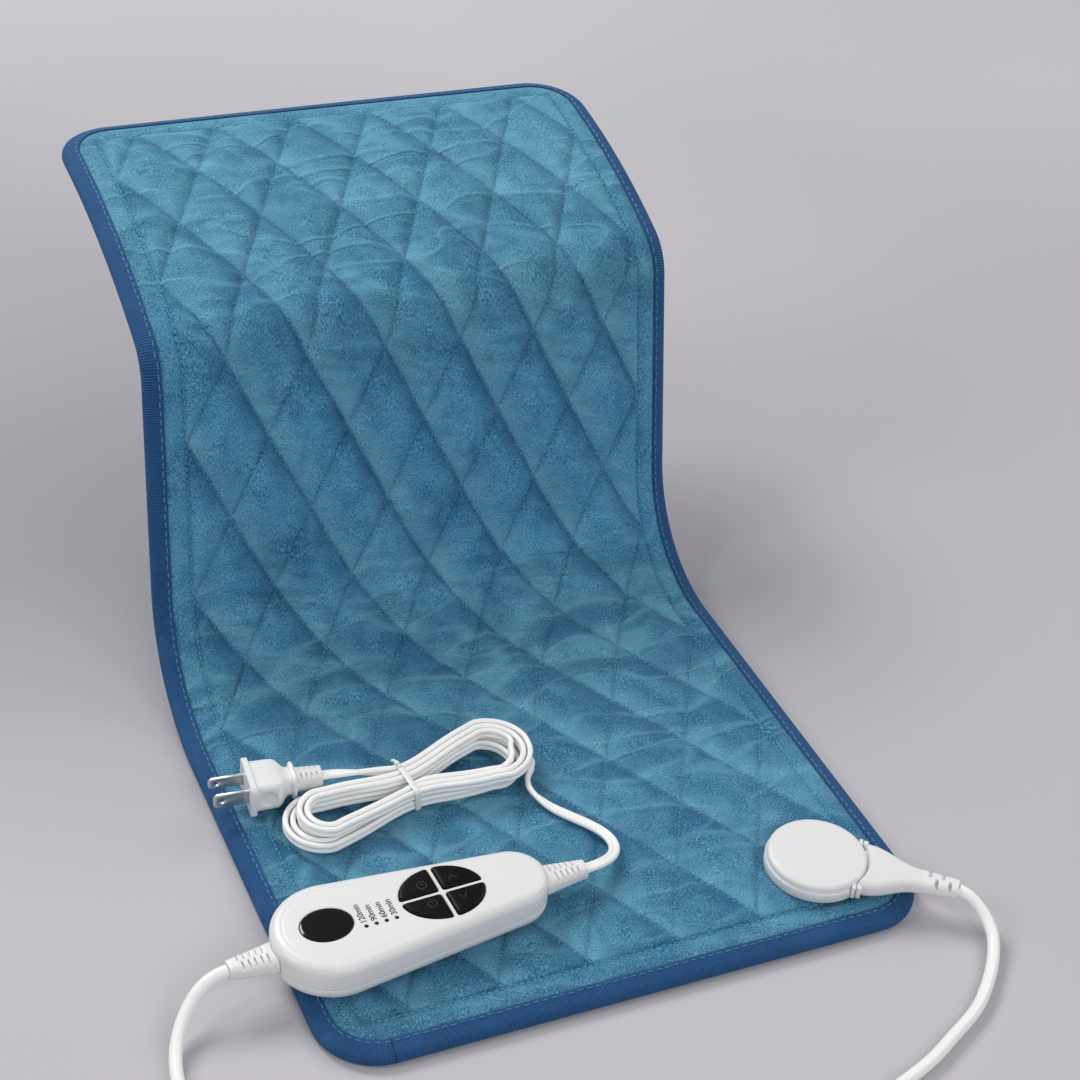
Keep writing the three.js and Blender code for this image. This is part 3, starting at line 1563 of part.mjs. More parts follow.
const bootTipReach = bootLength + seatGap;
const bootHeight = restHeight + bootCenterHeight;

function padLead() {
  const reliefEnd = connectorLength + 2 * seatGap + connectorReliefLength;
  const start = turnedPlace(socketAcross, socketBack, socketAngle, reliefEnd, mouthMiddle);
  const straight = turnedPlace(socketAcross, socketBack, socketAngle, reliefEnd + leadRadius, mouthMiddle);
  const leftTip = wideEndX - wideEndRadius - bootTipReach;
  const end = turnedPlace(controllerAcross, controllerBack, controllerAngle, leftTip, bootHeight);
  const beforeEnd = turnedPlace(
    controllerAcross, controllerBack, controllerAngle, leftTip - leadRadius, bootHeight,
  );
  const route = [start, straight, ...points(padLeadRoute), beforeEnd, end];
  const curve = new THREE.CatmullRomCurve3(route, false, 'centripetal');
  const centres = curve.getSpacedPoints(leadSteps);
  return part('pad_lead', whiteCord, tubeThrough(
    centres, leadRadius, leadSides,
    new THREE.Vector3().subVectors(straight, start).normalize(),
    new THREE.Vector3().subVectors(end, beforeEnd).normalize(),
  ));
}

// From the connector over the pad's corner, along the front outside the view and back to the controller
const padLeadRoute = [
  [321.4, -8.5, 11.2],
  [322.3, -20.6, 6],
  [316.2, -32.2, 3.3],
  [305.5, -44.8, 3.05],
  [290.6, -58.2, 3.05],
  [270.5, -69.3, 3.05],
  [254.5, -77.8, 3.05],
  [222, -89, 3.05],
  [190, -98, 3.05],
  [160, -104.5, 3.05],
  [130, -108.5, 3.05],
  [95, -108.5, 3.05],
  [60, -103.5, 3.05],
  [25, -93.5, 3.05],
  [-10, -76.5, 3.05],
  [-37, -54.5, 3.05],
  [-54, -31.5, 3.05],
  [-61, -9.5, 3.05],
  [-62.8, 8, 3.05],
  [-61.8, 24.5, 3.4],
  [-58.6, 36.4, 5.2],
  [-53.4, 46, 9],
  [-46.2, 53.4, 14.2],
  [-39.4, 57.1, 18.6],
];

function mainsCord() {
  const rightTip = slimEndX + slimEndRadius + bootTipReach;
  const start = turnedPlace(controllerAcross, controllerBack, controllerAngle, rightTip, bootHeight);
  const straight = turnedPlace(
    controllerAcross, controllerBack, controllerAngle, rightTip + cordWidth / 2, bootHeight,
  );
  const hankStart = hankPlaces[0].clone().setY(-cordWidth - seatGap);
  const end = hankToPad(hankStart);
  const beforeEnd = hankToPad(hankStart.clone().setY(-2 * cordWidth));
  const curve = new THREE.CatmullRomCurve3([
    start, straight, ...points(mainsCordRoute), beforeEnd, end,
  ], false, 'centripetal');
  const rollAt = (share) => {
    const rolled = (share - mainsRollStartShare) / (mainsRollEndShare - mainsRollStartShare);
    return Math.PI / 2 * easeShare(rolled);
  };
  return part('mains_cord', whiteCord, flatCord(curve, cordSteps, rollAt));
}

const mainsRollStartShare = 0.55;
const mainsRollEndShare = 0.9;

// From the controller's right boot, folded back over the pad and on to the hank
const mainsCordRoute = [
  [156.2, 68.3, 19.6],
  [163.6, 72.4, 17.2],
  [169.3, 78.6, 14.8],
  [171.6, 86.2, 13.4],
  [170.2, 93.6, 12.9],
  [166, 100.8, 12.8],
  [159.6, 109.2, 12.8],
  [153.8, 117.4, 12.8],
  [150.3, 125, 13.2],
  [148.3, 132.3, 13.9],
  [150.4, 139.9, 14.5],
];

function plugCord() {
  const last = hankPlaces[hankPlaces.length - 1];
  const leaving = new THREE.Vector3(-Math.cos(hankExitAngle), Math.sin(hankExitAngle), 0);
  const start = hankToPad(last.clone().addScaledVector(leaving, seatGap));
  const afterStart = hankToPad(last.clone().addScaledVector(leaving, cordWidth));
  const reliefEnd = -plugTail - seatGap;
  const end = turnedPlace(plugAcross, plugBack, plugAngle, reliefEnd, plugHeight);
  const beforeEnd = turnedPlace(plugAcross, plugBack, plugAngle, reliefEnd - cordWidth, plugHeight);
  const curve = new THREE.CatmullRomCurve3([start, afterStart, beforeEnd, end], false, 'centripetal');
  const rollAt = (share) => Math.PI / 2 * (1 - easeShare(share));
  return part('plug_cord', whiteCord, flatCord(curve, plugCordSteps, rollAt));
}

// Plug, modelled with its blades along +X and the flange's front at zero

const plugHeight = restHeight + plugFlangeHeight / 2;
const plugNeckStart = plugFlangeThickness + plugBodyLength + plugWaistLength;
const plugTail = plugNeckStart + plugCollarThickness + plugReliefLength;

function plugBody() {
  const section = (x, width, height) => roundedSection(x, width, height, plugEdgeRadius, 2);
  const bodyEnd = -plugFlangeThickness - plugBodyLength;
  const waistEnd = bodyEnd - plugWaistLength;
  const collarEnd = waistEnd - plugCollarThickness;
  const rings = [
    section(-plugTail, plugReliefTipWidth, plugReliefTipWidth),
    section(collarEnd, plugReliefWidth, plugReliefWidth),
    section(collarEnd, plugCollarWidth * collarRimShare, plugCollarHeight * collarRimShare),
    section(collarEnd + plugCollarThickness / 2, plugCollarWidth, plugCollarHeight),
    section(waistEnd, plugCollarWidth * collarRimShare, plugCollarHeight * collarRimShare),
    section(waistEnd, plugWaistWidth, plugWaistHeight),
    section(waistEnd + plugWaistLength / 3, plugWaistWidth, plugWaistHeight),
    section(bodyEnd - plugWaistLength / 3, plugBodyWidth * bodyTaperShare, plugBodyHeight * bodyTaperShare),
    section(bodyEnd, plugBodyWidth * bodyShoulderShare, plugBodyHeight * bodyShoulderShare),
    section(bodyEnd / 2, plugBodyWidth, plugBodyHeight),
    section(-plugFlangeThickness, plugBodyWidth, plugBodyHeight),
    section(-plugFlangeThickness, plugFlangeWidth, plugFlangeHeight),
    section(0, plugFlangeWidth, plugFlangeHeight),
  ];
  const ribs = Array.from({ length: plugRibCount }, (_, rib) => {
    const x = collarEnd - plugReliefLength * (rib + 1) / (plugRibCount + 1);
    const reach = plugReliefWidth;
    const slot = block([x - bootSlotWidth / 2, -reach, -reach], [x + bootSlotWidth / 2, reach, reach]);
    const core = plugReliefTipWidth / 2 - plugRibDepth;
    return cut(slot, block([x - bootSlotWidth, -core, -core], [x + bootSlotWidth, core, core]));
  });
  const seats = [-1, 1].map((side) => {
    const width = side > 0 ? wideBladeWidth : bladeWidth;
    const half = bladeThickness / 2 + bladeClearance;
    return block(
      [-bladeSeatDepth - bladeClearance, side * bladePitch / 2 - half, -width / 2 - bladeClearance],
      [cutOverrun, side * bladePitch / 2 + half, width / 2 + bladeClearance],
    );
  });
  const made = cut(loft(rings), ...ribs, ...seats);
  return part('plug_body', whiteGloss, made);
}

function plugBlade(name, side) {
  const width = side > 0 ? wideBladeWidth : bladeWidth;
  const shape = new THREE.Shape();
  shape.moveTo(-bladeSeatDepth, -width / 2);
  shape.lineTo(bladeLength - bladeTipChamfer, -width / 2);
  shape.lineTo(bladeLength, bladeTipChamfer - width / 2);
  shape.lineTo(bladeLength, width / 2 - bladeTipChamfer);
  shape.lineTo(bladeLength - bladeTipChamfer, width / 2);
  shape.lineTo(-bladeSeatDepth, width / 2);
  const hole = new THREE.Path();
  hole.absarc(bladeLength - bladeHoleInset, 0, bladeHoleRadius, 0, 2 * Math.PI, true);
  shape.holes.push(hole);
  const blade = prism(shape, -bladeThickness / 2, bladeThickness / 2, 3);
  blade.rotateX(Math.PI / 2);
  blade.translate(0, side * bladePitch / 2, 0);
  return part(name, nickel, blade);
}

// Assembly

function placed(name, pieces, across, back, height, angle) {
  const group = new THREE.Group();
  group.name = name;
  group.add(...pieces);
  group.position.set(across, back, height);
  group.rotation.z = angle;
  return group;
}

const padGroup = placed('pad_layers', [
  quiltedTop(),
  backCover(),
  edgeBinding(),
  elementFelt(),
  heatingWire(),
  thermalCutout('thermal_cutout_left', cutoutLeftAcross),
  thermalCutout('thermal_cutout_right', cutoutRightAcross),
], 0, 0, 0, 0);

const socketGroup = placed('socket_and_connector', [
  socketBase(),
  socketCover(),
  socketScrew('socket_screw_left', 1),
  socketScrew('socket_screw_right', -1),
  socketContact('socket_contact_line', 1),
  socketContact('socket_contact_middle', 0),
  socketContact('socket_contact_neutral', -1),
  connectorBody(),
  connectorContact('connector_contact_line', 1),
  connectorContact('connector_contact_middle', 0),
  connectorContact('connector_contact_neutral', -1),
  connectorStrainRelief(),
], socketAcross, socketBack, 0, socketAngle);

const controllerGroup = placed('hand_controller', [
  bottomShell(),
  topShell(),
  displayLens(),
  displayModule(),
  lightGuide(),
  circuitBoard(),
  powerTriac(),
  lineFuse(),
  filterCapacitor(),
  ...keySides.map(keyButton),
  ...keySides.map(keySwitch),
  ...screwPlaces().map(shellScrew),
  controllerBoot('lead_strain_relief', -1),
  controllerBoot('mains_strain_relief', 1),
], controllerAcross, controllerBack, restHeight, controllerAngle);

const hankGroup = placed('mains_hank', [mainsCordHank(), cordTie()], hankAcross, hankBack, 0, hankAngle);

const plugGroup = placed('mains_plug', [
  plugBody(),
  plugBlade('plug_blade_line', -1),
  plugBlade('plug_blade_neutral', 1),
], plugAcross, plugBack, plugHeight, plugAngle);

const cords = placed('free_cords', [padLead(), mainsCord(), plugCord()], 0, 0, 0, 0);

const heatingPad = new THREE.Group();
heatingPad.name = 'heating_pad_with_controller';
heatingPad.add(padGroup, socketGroup, controllerGroup, hankGroup, plugGroup, cords);

// The origin is the middle of the underside of everything but the cords
heatingPad.updateMatrixWorld(true);
const extent = new THREE.Box3();
const cordNames = ['pad_lead', 'mains_cord', 'mains_cord_hank', 'cord_tie', 'plug_cord', 'plug_body'];
heatingPad.traverse((child) => {
  const onCord = cordNames.includes(child.name) || child.name.startsWith('plug_blade');
  if (child.isMesh && !onCord) extent.expandByObject(child, true);
});
const middle = extent.getCenter(new THREE.Vector3());
heatingPad.position.set(-middle.x, -middle.y, -extent.min.z);
heatingPad.updateMatrixWorld(true);

export default heatingPad;
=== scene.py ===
import json
import math

import bmesh
import bpy
from mathutils import Matrix, Vector, noise


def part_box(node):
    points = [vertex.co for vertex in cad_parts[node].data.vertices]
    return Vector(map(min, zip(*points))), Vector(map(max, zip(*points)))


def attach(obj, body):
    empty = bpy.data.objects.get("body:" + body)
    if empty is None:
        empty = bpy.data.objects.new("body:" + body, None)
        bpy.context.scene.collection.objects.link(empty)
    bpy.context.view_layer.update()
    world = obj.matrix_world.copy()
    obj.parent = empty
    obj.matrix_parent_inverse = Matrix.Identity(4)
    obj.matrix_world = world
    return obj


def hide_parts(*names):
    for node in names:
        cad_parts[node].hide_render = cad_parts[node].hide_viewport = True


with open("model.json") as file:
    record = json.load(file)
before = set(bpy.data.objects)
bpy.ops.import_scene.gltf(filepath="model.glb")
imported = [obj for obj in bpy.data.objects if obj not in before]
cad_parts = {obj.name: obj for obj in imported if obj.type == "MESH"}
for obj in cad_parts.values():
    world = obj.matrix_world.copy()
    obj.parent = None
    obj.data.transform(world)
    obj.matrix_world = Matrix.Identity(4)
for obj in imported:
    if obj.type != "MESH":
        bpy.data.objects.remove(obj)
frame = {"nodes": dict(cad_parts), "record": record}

bl_info = {
    "name": "Heating pad with controller",
    "version": (1, 0, 0),
    "blender": (4, 5, 0),
    "location": "3D View > Sidebar > Heating pad",
    "description": "Dresses the heating pad with plush, cords, mouldings and a studio stage",
    "category": "Add Mesh",
}

MM = 0.001
DEGREE = math.pi / 180
TINY = 1e-9
SOFTENED_ANGLE = 35

# Kinds of the node groups' sockets
COLOR = "NodeSocketColor"
VALUE = "NodeSocketFloat"
VECTOR = "NodeSocketVector"

# The pad's flat size and its bend, in millimetres
PAD_WIDTH = 305
PAD_LENGTH = 610
CORNER_RADIUS = 30
BEND_SLANT = 6.16 * DEGREE
BEND_RUNS = (
    (211, 0),
    (84.7 * 69.3 * DEGREE, 1 / 84.7),
    (104.3, 0),
    (26.6 * 47.4 * DEGREE, -1 / 26.6),
    (610, -1 / 410),
)
GRID_INSET = 31
CORNER_STEPS = 7
PILE_START = 9.4
BORDER_INSET = 20
DIAMOND_DEPTH = 19.4
COLUMN_PITCH = 265 / 12
ROW_PITCH = 40.46
QUILT_FRONT = 24.2
SHEET_INSET = 1.1
STITCH_HEIGHT = 7.7
CROWN_HEIGHT = 10.7
ROLL_HEIGHT = 9.4
ROLL_INSET = 15
EDGE_HEIGHT = 5.3
REST_HEIGHT = 11
TOP_HEM_HEIGHT = 2.6
BACK_HEM_HEIGHT = 2.5
FAR_FROM_SEAMS = 100.0
THREAD_WIDTH = 0.6
SHORTEST_ROW = 6

# Insets of the loops between the cloth's inner grid and its edge
TOP_INSETS = (
    30, 28.5, 27, 25.5, 24, 22.8, 21.6, 20.8, 20, 19.2, 18.4, 17.2, 16, 14.8, 13.6, 12.4, 11.4,
    10.6, 10, 9.6, 9.4, 8, 5, 1.1,
)
BACK_INSETS = (30, 27, 24, 22, 21, 20, 19, 18, 16, 14.5, 13, 12.2, 11.4, 6, 1.1)

# The folded tape's section, from its lower edge round the rim: inset and height
TAPE_SECTION = (
    (9, 0.45), (7.5, 0.3), (4, 0.3), (1.6, 0.5), (0.5, 1.3), (0.05, 2.6), (0.05, 3.9), (0.6, 5.2), (1.8, 6.2),
    (3.5, 7), (5.5, 7.65), (7.2, 8.15), (8.4, 8.5), (9.05, 8.35), (9, 7.95),
)

# The round lead, and the flat mains cord with its hank
PAD_LEAD_RADIUS = 3
CORD_WIDTH = 5.6
CORD_THICKNESS = 2.8
HANK_HALF_LENGTH = 66
HANK_HALF_WIDTH = 21
HANK_LEFT_HALF_WIDTH = 18
HANK_TIE_HALF_WIDTH = 9.6
HANK_STEP = 3.55
HANK_WAIST_REACH = 30
HANK_LOOPS = 3
HANK_RISE = 6.2
HANK_BOTTOM = REST_HEIGHT + 0.8 + 0.3 + CORD_WIDTH / 2
HANK_EXIT = 21 * DEGREE

# The hand controller's outline
WIDE_X = -41
WIDE_RADIUS = 28
SLIM_X = 47.5
SLIM_RADIUS = 17.5
CONTROLLER_HEIGHT = 20
CONTROLLER_TURN = 2.5 * DEGREE
DISPLAY = (-43.5, 0.8)
KEYS_MIDDLE = (12.7, 0.8)
KEYS = (
    ("button_power", -1, -1),
    ("button_timer", -1, 1),
    ("button_heat_up", 1, 1),
    ("button_heat_down", 1, -1),
)
LAMP_X = -27.4
LAMP_Y = -6.4
LAMP_PITCH = 4.9
LAMP_LABELS = ("120min", "90min", "60min", "30min")

# The boots, with the width and height of each at its root and its tip
BOOT_AXIS = 9.6
BOOT_LENGTH = 21
BOOT_GAP = 0.3
BOOT_ROOT = (14.5, 9.5)
BOOT_TIP = (8.6, 7.4)
GRIP_BOOT_LENGTH = 18
GRIP_BOOT_ROOT = (12, 8.4)
GRIP_BOOT_TIP = (9, 7.4)
ROUNDNESS = 0.38

# The round socket at the front right corner, the middle height of its mouth, and the connector
SOCKET_RADIUS = 25
SOCKET_HEIGHT = 9.5
SOCKET_PROFILE = (
    (24, 0), (24.7, 0.15), (25, 0.6), (25, 4.6), (24.85, 5.1), (24.4, 5.4), (24.2, 5.8), (24.15, 7.4),
    (24, 8), (23.6, 8.6), (23, 9.05), (22.3, 9.3), (21.4, 9.42), (16, 9.6), (9, 9.8), (2, 9.95),
)
MOUTH_MIDDLE = 15.75
EAR_LOW = REST_HEIGHT + 1.4
EAR_HIGH = REST_HEIGHT + 7.6
GRIP_START = 20.97
GRIP_END = 50
GRIP_ROOT_WIDTH = 30
GRIP_TIP_WIDTH = 12
GRIP_TIP_HEIGHT = 8.4

# The plug from its tail to its face: distance, width, height and corner radius, then its two blades
PLUG_PROFILE = (
    (-37.1, 8.6, 8.6, 2.6), (-36.9, 9.0, 9.0, 2.8), (-24.2, 10.4, 10.4, 3.0), (-24.1, 13.2, 12, 2.6),
    (-23.6, 15, 13.6, 2.8), (-22.8, 15.5, 14, 2.8), (-21.9, 14.6, 13.2, 2.8), (-21.5, 12.2, 11.2, 3),
    (-20.4, 12, 11, 3.2), (-19.2, 12.6, 11.6, 3.4), (-17.8, 15, 13, 3.4), (-16.6, 18, 14.4, 3.4),
    (-15.4, 20.3, 15.1, 3), (-14, 21.3, 15.5, 2.6), (-10, 21.5, 15.6, 2.4), (-5, 21.5, 15.6, 2.3),
    (-3.15, 21.6, 15.7, 2.3), (-3.0, 25.4, 17.4, 2.4), (-2.7, 26, 18, 2.6), (-0.4, 26, 18, 2.6),
    (-0.05, 25.5, 17.5, 2.4), (0, 24.8, 16.8, 2.2),
)
BLADE_OFFSET = 6.35
BLADE_WIDTHS = {-1: 6.35, 1: 7.9}

# The camera's axis and amount of turn, its place in the pad's frame, what the lights shine at, and
# the level of the paper
CAMERA_TURN = Vector((2.1773, -0.4049, 0.3211))
CAMERA_PLACE = (-242.58, -618.12, 775.04)
LIT_PLACE = Vector((0, 0, 0.05))
FLOOR_DROP = -0.0002

# Finishes of the mouldings: shade, roughness, coat, specular level and how much light goes in
MOULDED_FINISHES = {
    "white_moulding": ((220, 220, 220), 0.36, 0.15, 0.42, 0.1),
    "white_soft_moulding": ((220, 220, 220), 0.42, 0.0, 0.45, 0.12),
    "cord_sheath": ((235, 235, 233), 0.36, 0.1, 0.45, 0.12),
    "black_window": ((6, 6, 7), 0.06, 0.0, 0.5, 0.0),
    "satin_key": ((15, 15, 16), 0.4, 0.0, 0.14, 0.0),
    "satin_key_sign": ((58, 58, 61), 0.5, 0.0, 0.25, 0.0),
    "dark_moulding": ((52, 54, 58), 0.5, 0.0, 0.5, 0.0),
    "clear_moulding": ((180, 190, 186), 0.15, 0.4, 0.5, 0.0),
    "print_grey": ((40, 41, 46), 0.6, 0.0, 0.5, 0.0),
}

# Colours that the sidebar can change: name, label, what wears it and its display value of 0 to 255
COLORS = (
    # Painted light and shade: the one plush takes a lighter or darker tone in each run of the bend
    ("plush_front", "Plush, front", "Pile that lies flat at the front", (64, 121, 150)),
    ("plush_bend", "Plush, bends", "Pile in the bends", (70, 132, 164)),
    ("plush_steep", "Plush, steep run", "Pile of the steep run", (74, 142, 182)),
    ("plush_tail", "Plush, tail", "Pile of the tail", (80, 140, 162)),
    # The light nap colour is also painted light on lit flanks and wrinkle crests; the dark one is also
    # painted shade on shaded flanks, wrinkle hollows and seams
    ("plush_light", "Plush, light nap and painted light", "Light nap, also painted light on lit flanks and wrinkle crests", (104, 162, 186)),
    ("plush_dark", "Plush, dark nap and painted shade", "Dark nap, also painted shade on flanks, wrinkle hollows and seams", (34, 86, 124)),
    ("binding_tape", "Binding tape", "Tape round the pad's rim", (19, 62, 107)),
    ("thread_teal", "Quilting thread", "Thread of the diagonal rows", (44, 118, 152)),
    ("thread_cyan", "Border thread", "Thread of the border row", (38, 150, 196)),
    ("thread_blue", "Binding thread", "Thread of the tape", (56, 106, 150)),
    ("white_moulding", "Hard mouldings", "Controller, socket, connector and plug", (228, 228, 227)),
    ("white_soft_moulding", "Soft mouldings", "Boots and tie", (231, 231, 229)),
    ("cord_sheath", "Cords", "Sheath of both cords", (245, 245, 242)),
    ("black_window", "Window", "Display window and lamps", (3, 3, 4)),
    ("satin_key", "Keys", "The four keys", (10, 10, 11)),
    ("satin_key_sign", "Key signs", "Raised signs of the keys", (50, 50, 53)),
    ("dark_moulding", "Dark parts", "Components inside the controller", (38, 40, 44)),
    ("clear_moulding", "Clear parts", "Light guide and fuse", (205, 212, 208)),
    ("print_grey", "Print", "Printed minutes", (26, 27, 31)),
    ("studio_paper", "Paper", "Paper under the pad", (182, 179, 184)),
)

cover_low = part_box("back_cover")[0]
ORIGIN = Vector((cover_low.x - SHEET_INSET * MM, cover_low.y - SHEET_INSET * MM, 0))


def row_point(point):
    """Moves a place from the pad's frame, in millimetres, to the model's frame in metres."""
    return Vector((point[0] * MM + ORIGIN.x, point[1] * MM + ORIGIN.y, point[2] * MM))


def placed(across, back, height, angle):
    """Returns the function that carries a group's own millimetres to the model's frame."""
    cosine = math.cos(angle)
    sine = math.sin(angle)

    def place(point):
        x = across + point[0] * cosine - point[1] * sine
        y = back + point[0] * sine + point[1] * cosine
        return row_point((x, y, height + point[2]))

    return place


controller_place = placed(61.4, 62.7, REST_HEIGHT, CONTROLLER_TURN)
socket_place = placed(259, 41, 0, -36 * DEGREE)
hank_place = placed(89.5, 148.3, 0, 9 * DEGREE)
plug_place = placed(15, 169.9, REST_HEIGHT + 9, 175 * DEGREE)


def profile_at(distance):
    """How far back, how high and how steep the bent cloth is after a distance along it."""
    back = 0
    up = 0
    slope = 0
    left = distance
    for length, bend in BEND_RUNS:
        part = min(left, length)
        if bend == 0:
            back += part * math.cos(slope)
            up += part * math.sin(slope)
        else:
            end = slope + part * bend
            back += (math.sin(end) - math.sin(slope)) / bend
            up += (math.cos(slope) - math.cos(end)) / bend
            slope = end
        left -= part
        if left <= 0:
            break
    return back, up, slope


def pad_point(across, along, height):
    """Bends a point of the flat pattern, at a height above the underside, to its place."""
    ruling = across * math.cos(BEND_SLANT) + along * math.sin(BEND_SLANT)
    distance = along * math.cos(BEND_SLANT) - across * math.sin(BEND_SLANT)
    back, up, slope = profile_at(distance)
    back -= height * math.sin(slope)
    x = ruling * math.cos(BEND_SLANT) - back * math.sin(BEND_SLANT)
    y = ruling * math.sin(BEND_SLANT) + back * math.cos(BEND_SLANT)
    return row_point((x, y, up + height * math.cos(slope)))


def ease(share):
    """Smooth step from 0 to 1."""
    held = min(max(share, 0), 1)
    return held * held * (3 - 2 * held)


# Meshes


def make_object(name, vertices, faces, material, body, angle=40, recalculate=True):
    """Makes a mesh piece from points in metres, smooth below the angle, that rides on a body."""
    mesh = bpy.data.meshes.new(name)
    mesh.from_pydata([tuple(vertex) for vertex in vertices], [], faces)
    if recalculate:
        edit = bmesh.new()
        edit.from_mesh(mesh)
        bmesh.ops.recalc_face_normals(edit, faces=edit.faces)
        edit.to_mesh(mesh)
        edit.free()
    piece = bpy.data.objects.new(name, mesh)
    bpy.context.scene.collection.objects.link(piece)
    if material is not None:
        mesh.materials.append(material)
    smooth(piece, angle)
    if body:
        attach(piece, body)
    return piece


def smooth(piece, angle):
    """Shades a piece smooth, with edges above the angle left sharp."""
    piece.data.shade_smooth()
    piece.data.set_sharp_from_angle(angle=angle * DEGREE)


def loft(rings, closed=False):
    """Vertices and faces of a skin through rings with equal counts of points, capped unless it closes."""
    size = len(rings[0])
    vertices = [point for ring in rings for point in ring]
    faces = []
    rows = len(rings) if closed else len(rings) - 1
    for row in range(rows):
        here = row * size
        there = (row + 1) % len(rings) * size
        for side in range(size):
            beside = (side + 1) % size
            faces.append((here + side, here + beside, there + beside, there + side))
    if not closed:
        last = (len(rings) - 1) * size
        faces.append(tuple(reversed(range(size))))
        faces.append(tuple(range(last, last + size)))
    return vertices, faces


def loft_object(name, rings, place, material, body, angle=40):
    """Makes a piece from rings given in a group's own millimetres."""
    vertices, faces = loft(rings)
    return make_object(name, [place(vertex) for vertex in vertices], faces, material, body, angle)


def box_rings(low, high):
    """The two rings of a plain block between two corners."""
    return [
        [(low[0], low[1], z), (high[0], low[1], z), (high[0], high[1], z), (low[0], high[1], z)]
        for z in (low[2], high[2])
    ]


def unit_circle(sides):
    """Evenly spaced (cosine, sine) pairs, counter-clockwise."""
    turns = [2 * math.pi * side / sides for side in range(sides)]
    return [(math.cos(turn), math.sin(turn)) for turn in turns]


def oval_ring(x, y, half_length, half_width, z, sides=72):
    """A level ellipse."""
    return [(x + half_length * cosine, y + half_width * sine, z) for cosine, sine in unit_circle(sides)]


def circle_ring(x, y, radius, z, sides):
    """A level circle."""
    return oval_ring(x, y, radius, radius, z, sides)


def rod_ring(x, y, z, radius, sides):
    """A circle that faces along X."""
    return [(x, y + radius * cosine, z + radius * sine) for cosine, sine in unit_circle(sides)]


def arc_points(x, y, radius, first, last, steps):
    """Flat points on an arc."""
    turns = [first + (last - first) * step / steps for step in range(steps + 1)]
    return [(x + radius * math.cos(turn), y + radius * math.sin(turn)) for turn in turns]


def rounded_section(x, width, height, radius, steps, middle=0):
    """A rounded rectangle that faces along X."""
    ring = []
    corner_y = width / 2 - radius
    corner_z = height / 2 - radius
    for quarter, (side_y, side_z) in enumerate(((1, 1), (-1, 1), (-1, -1), (1, -1))):
        for step in range(steps + 1):
            turn = (quarter + step / steps) * math.pi / 2
            y = side_y * corner_y + radius * math.cos(turn)
            ring.append((x, y, middle + side_z * corner_z + radius * math.sin(turn)))
    return ring


def combine(piece, place, lofts, operation):
    """Cuts lofts out of a piece or joins them to it, each a list of rings in the group's millimetres."""
    for rings in lofts:
        other = loft_object("other", rings, place, None, None)
        change = piece.modifiers.new("combine", "BOOLEAN")
        change.operation = operation
        change.solver = "EXACT"
        change.object = other
        apply_modifiers(piece)
        bpy.data.objects.remove(other)


def carve(piece, place, cutters):
    """Cuts lofts out of a piece."""
    combine(piece, place, cutters, "DIFFERENCE")


def apply_modifiers(piece):
    """Bakes a piece's modifiers into its mesh."""
    graph = bpy.context.evaluated_depsgraph_get()
    made = bpy.data.meshes.new_from_object(piece.evaluated_get(graph))
    piece.modifiers.clear()
    piece.data = made


def soften(piece, width, angle):
    """Rounds a piece's hard edges by a width in millimetres."""
    bevel = piece.modifiers.new("soften", "BEVEL")
    bevel.width = width * MM
    bevel.segments = 2
    bevel.limit_method = "ANGLE"
    bevel.angle_limit = angle * DEGREE
    bevel.harden_normals = False
    apply_modifiers(piece)
    smooth(piece, SOFTENED_ANGLE)


def sweep(path, section, rolls):
    """Rings of a section of (wide, thin) shares carried along a path of points in metres."""
    rings = []
    up = Vector((0, 0, 1))
    last = len(path) - 1
    for number, centre in enumerate(path):
        heading = (path[min(number + 1, last)] - path[max(number - 1, 0)]).normalized()
        sideways = up.cross(heading).normalized()
        upwards = heading.cross(sideways)
        roll = rolls[number]
        wide = sideways * math.cos(roll) + upwards * math.sin(roll)
        thin = heading.cross(wide)
        rings.append([centre + wide * share_wide + thin * share_thin for share_wide, share_thin in section])
    return rings


def round_section(radius, sides=20):
    """Section of a round cord, in metres."""
    return [(radius * MM * cosine, radius * MM * sine) for cosine, sine in unit_circle(sides)]


def twin_section(sides=14):
    """Section of the flat cord: two round cores with a groove between them, in metres."""
    core = CORD_THICKNESS / 2
    offset = CORD_WIDTH / 2 - core
    start = math.acos(offset * 0.78 / core)
    points = []
    for middle, first in ((offset, -math.pi + start), (-offset, start)):
        for step in range(sides):
            turn = first + (2 * math.pi - 2 * start) * step / (sides - 1)
            points.append(((middle + core * math.cos(turn)) * MM, core * math.sin(turn) * MM))
    return points


def spline_points(knots, spacing):
    """Points at an even spacing, in metres, on a centripetal curve through the knots."""
    dense = []
    padded = [knots[0] * 2 - knots[1]] + list(knots) + [knots[-1] * 2 - knots[-2]]
    for number in range(len(knots) - 1):
        before, start, end, after = padded[number:number + 4]
        marks = [0]
        for first, second in ((before, start), (start, end), (end, after)):
            marks.append(marks[-1] + max((second - first).length, 1e-6) ** 0.5)
        for step in range(24):
            dense.append(centripetal(before, start, end, after, marks, step / 24))
    dense.append(knots[-1].copy())
    return resampled(dense, spacing)


def centripetal(before, start, end, after, marks, share):
    """One point of a centripetal Catmull-Rom curve between start and end."""
    t0, t1, t2, t3 = marks
    t = t1 + (t2 - t1) * share
    a1 = before * ((t1 - t) / (t1 - t0)) + start * ((t - t0) / (t1 - t0))
    a2 = start * ((t2 - t) / (t2 - t1)) + end * ((t - t1) / (t2 - t1))
    a3 = end * ((t3 - t) / (t3 - t2)) + after * ((t - t2) / (t3 - t2))
    b1 = a1 * ((t2 - t) / (t2 - t0)) + a2 * ((t - t0) / (t2 - t0))
    b2 = a2 * ((t3 - t) / (t3 - t1)) + a3 * ((t - t1) / (t3 - t1))
    return b1 * ((t2 - t) / (t2 - t1)) + b2 * ((t - t1) / (t2 - t1))


def path_length(points):
    """Length of a polyline."""
    return sum((second - first).length for first, second in zip(points, points[1:]))


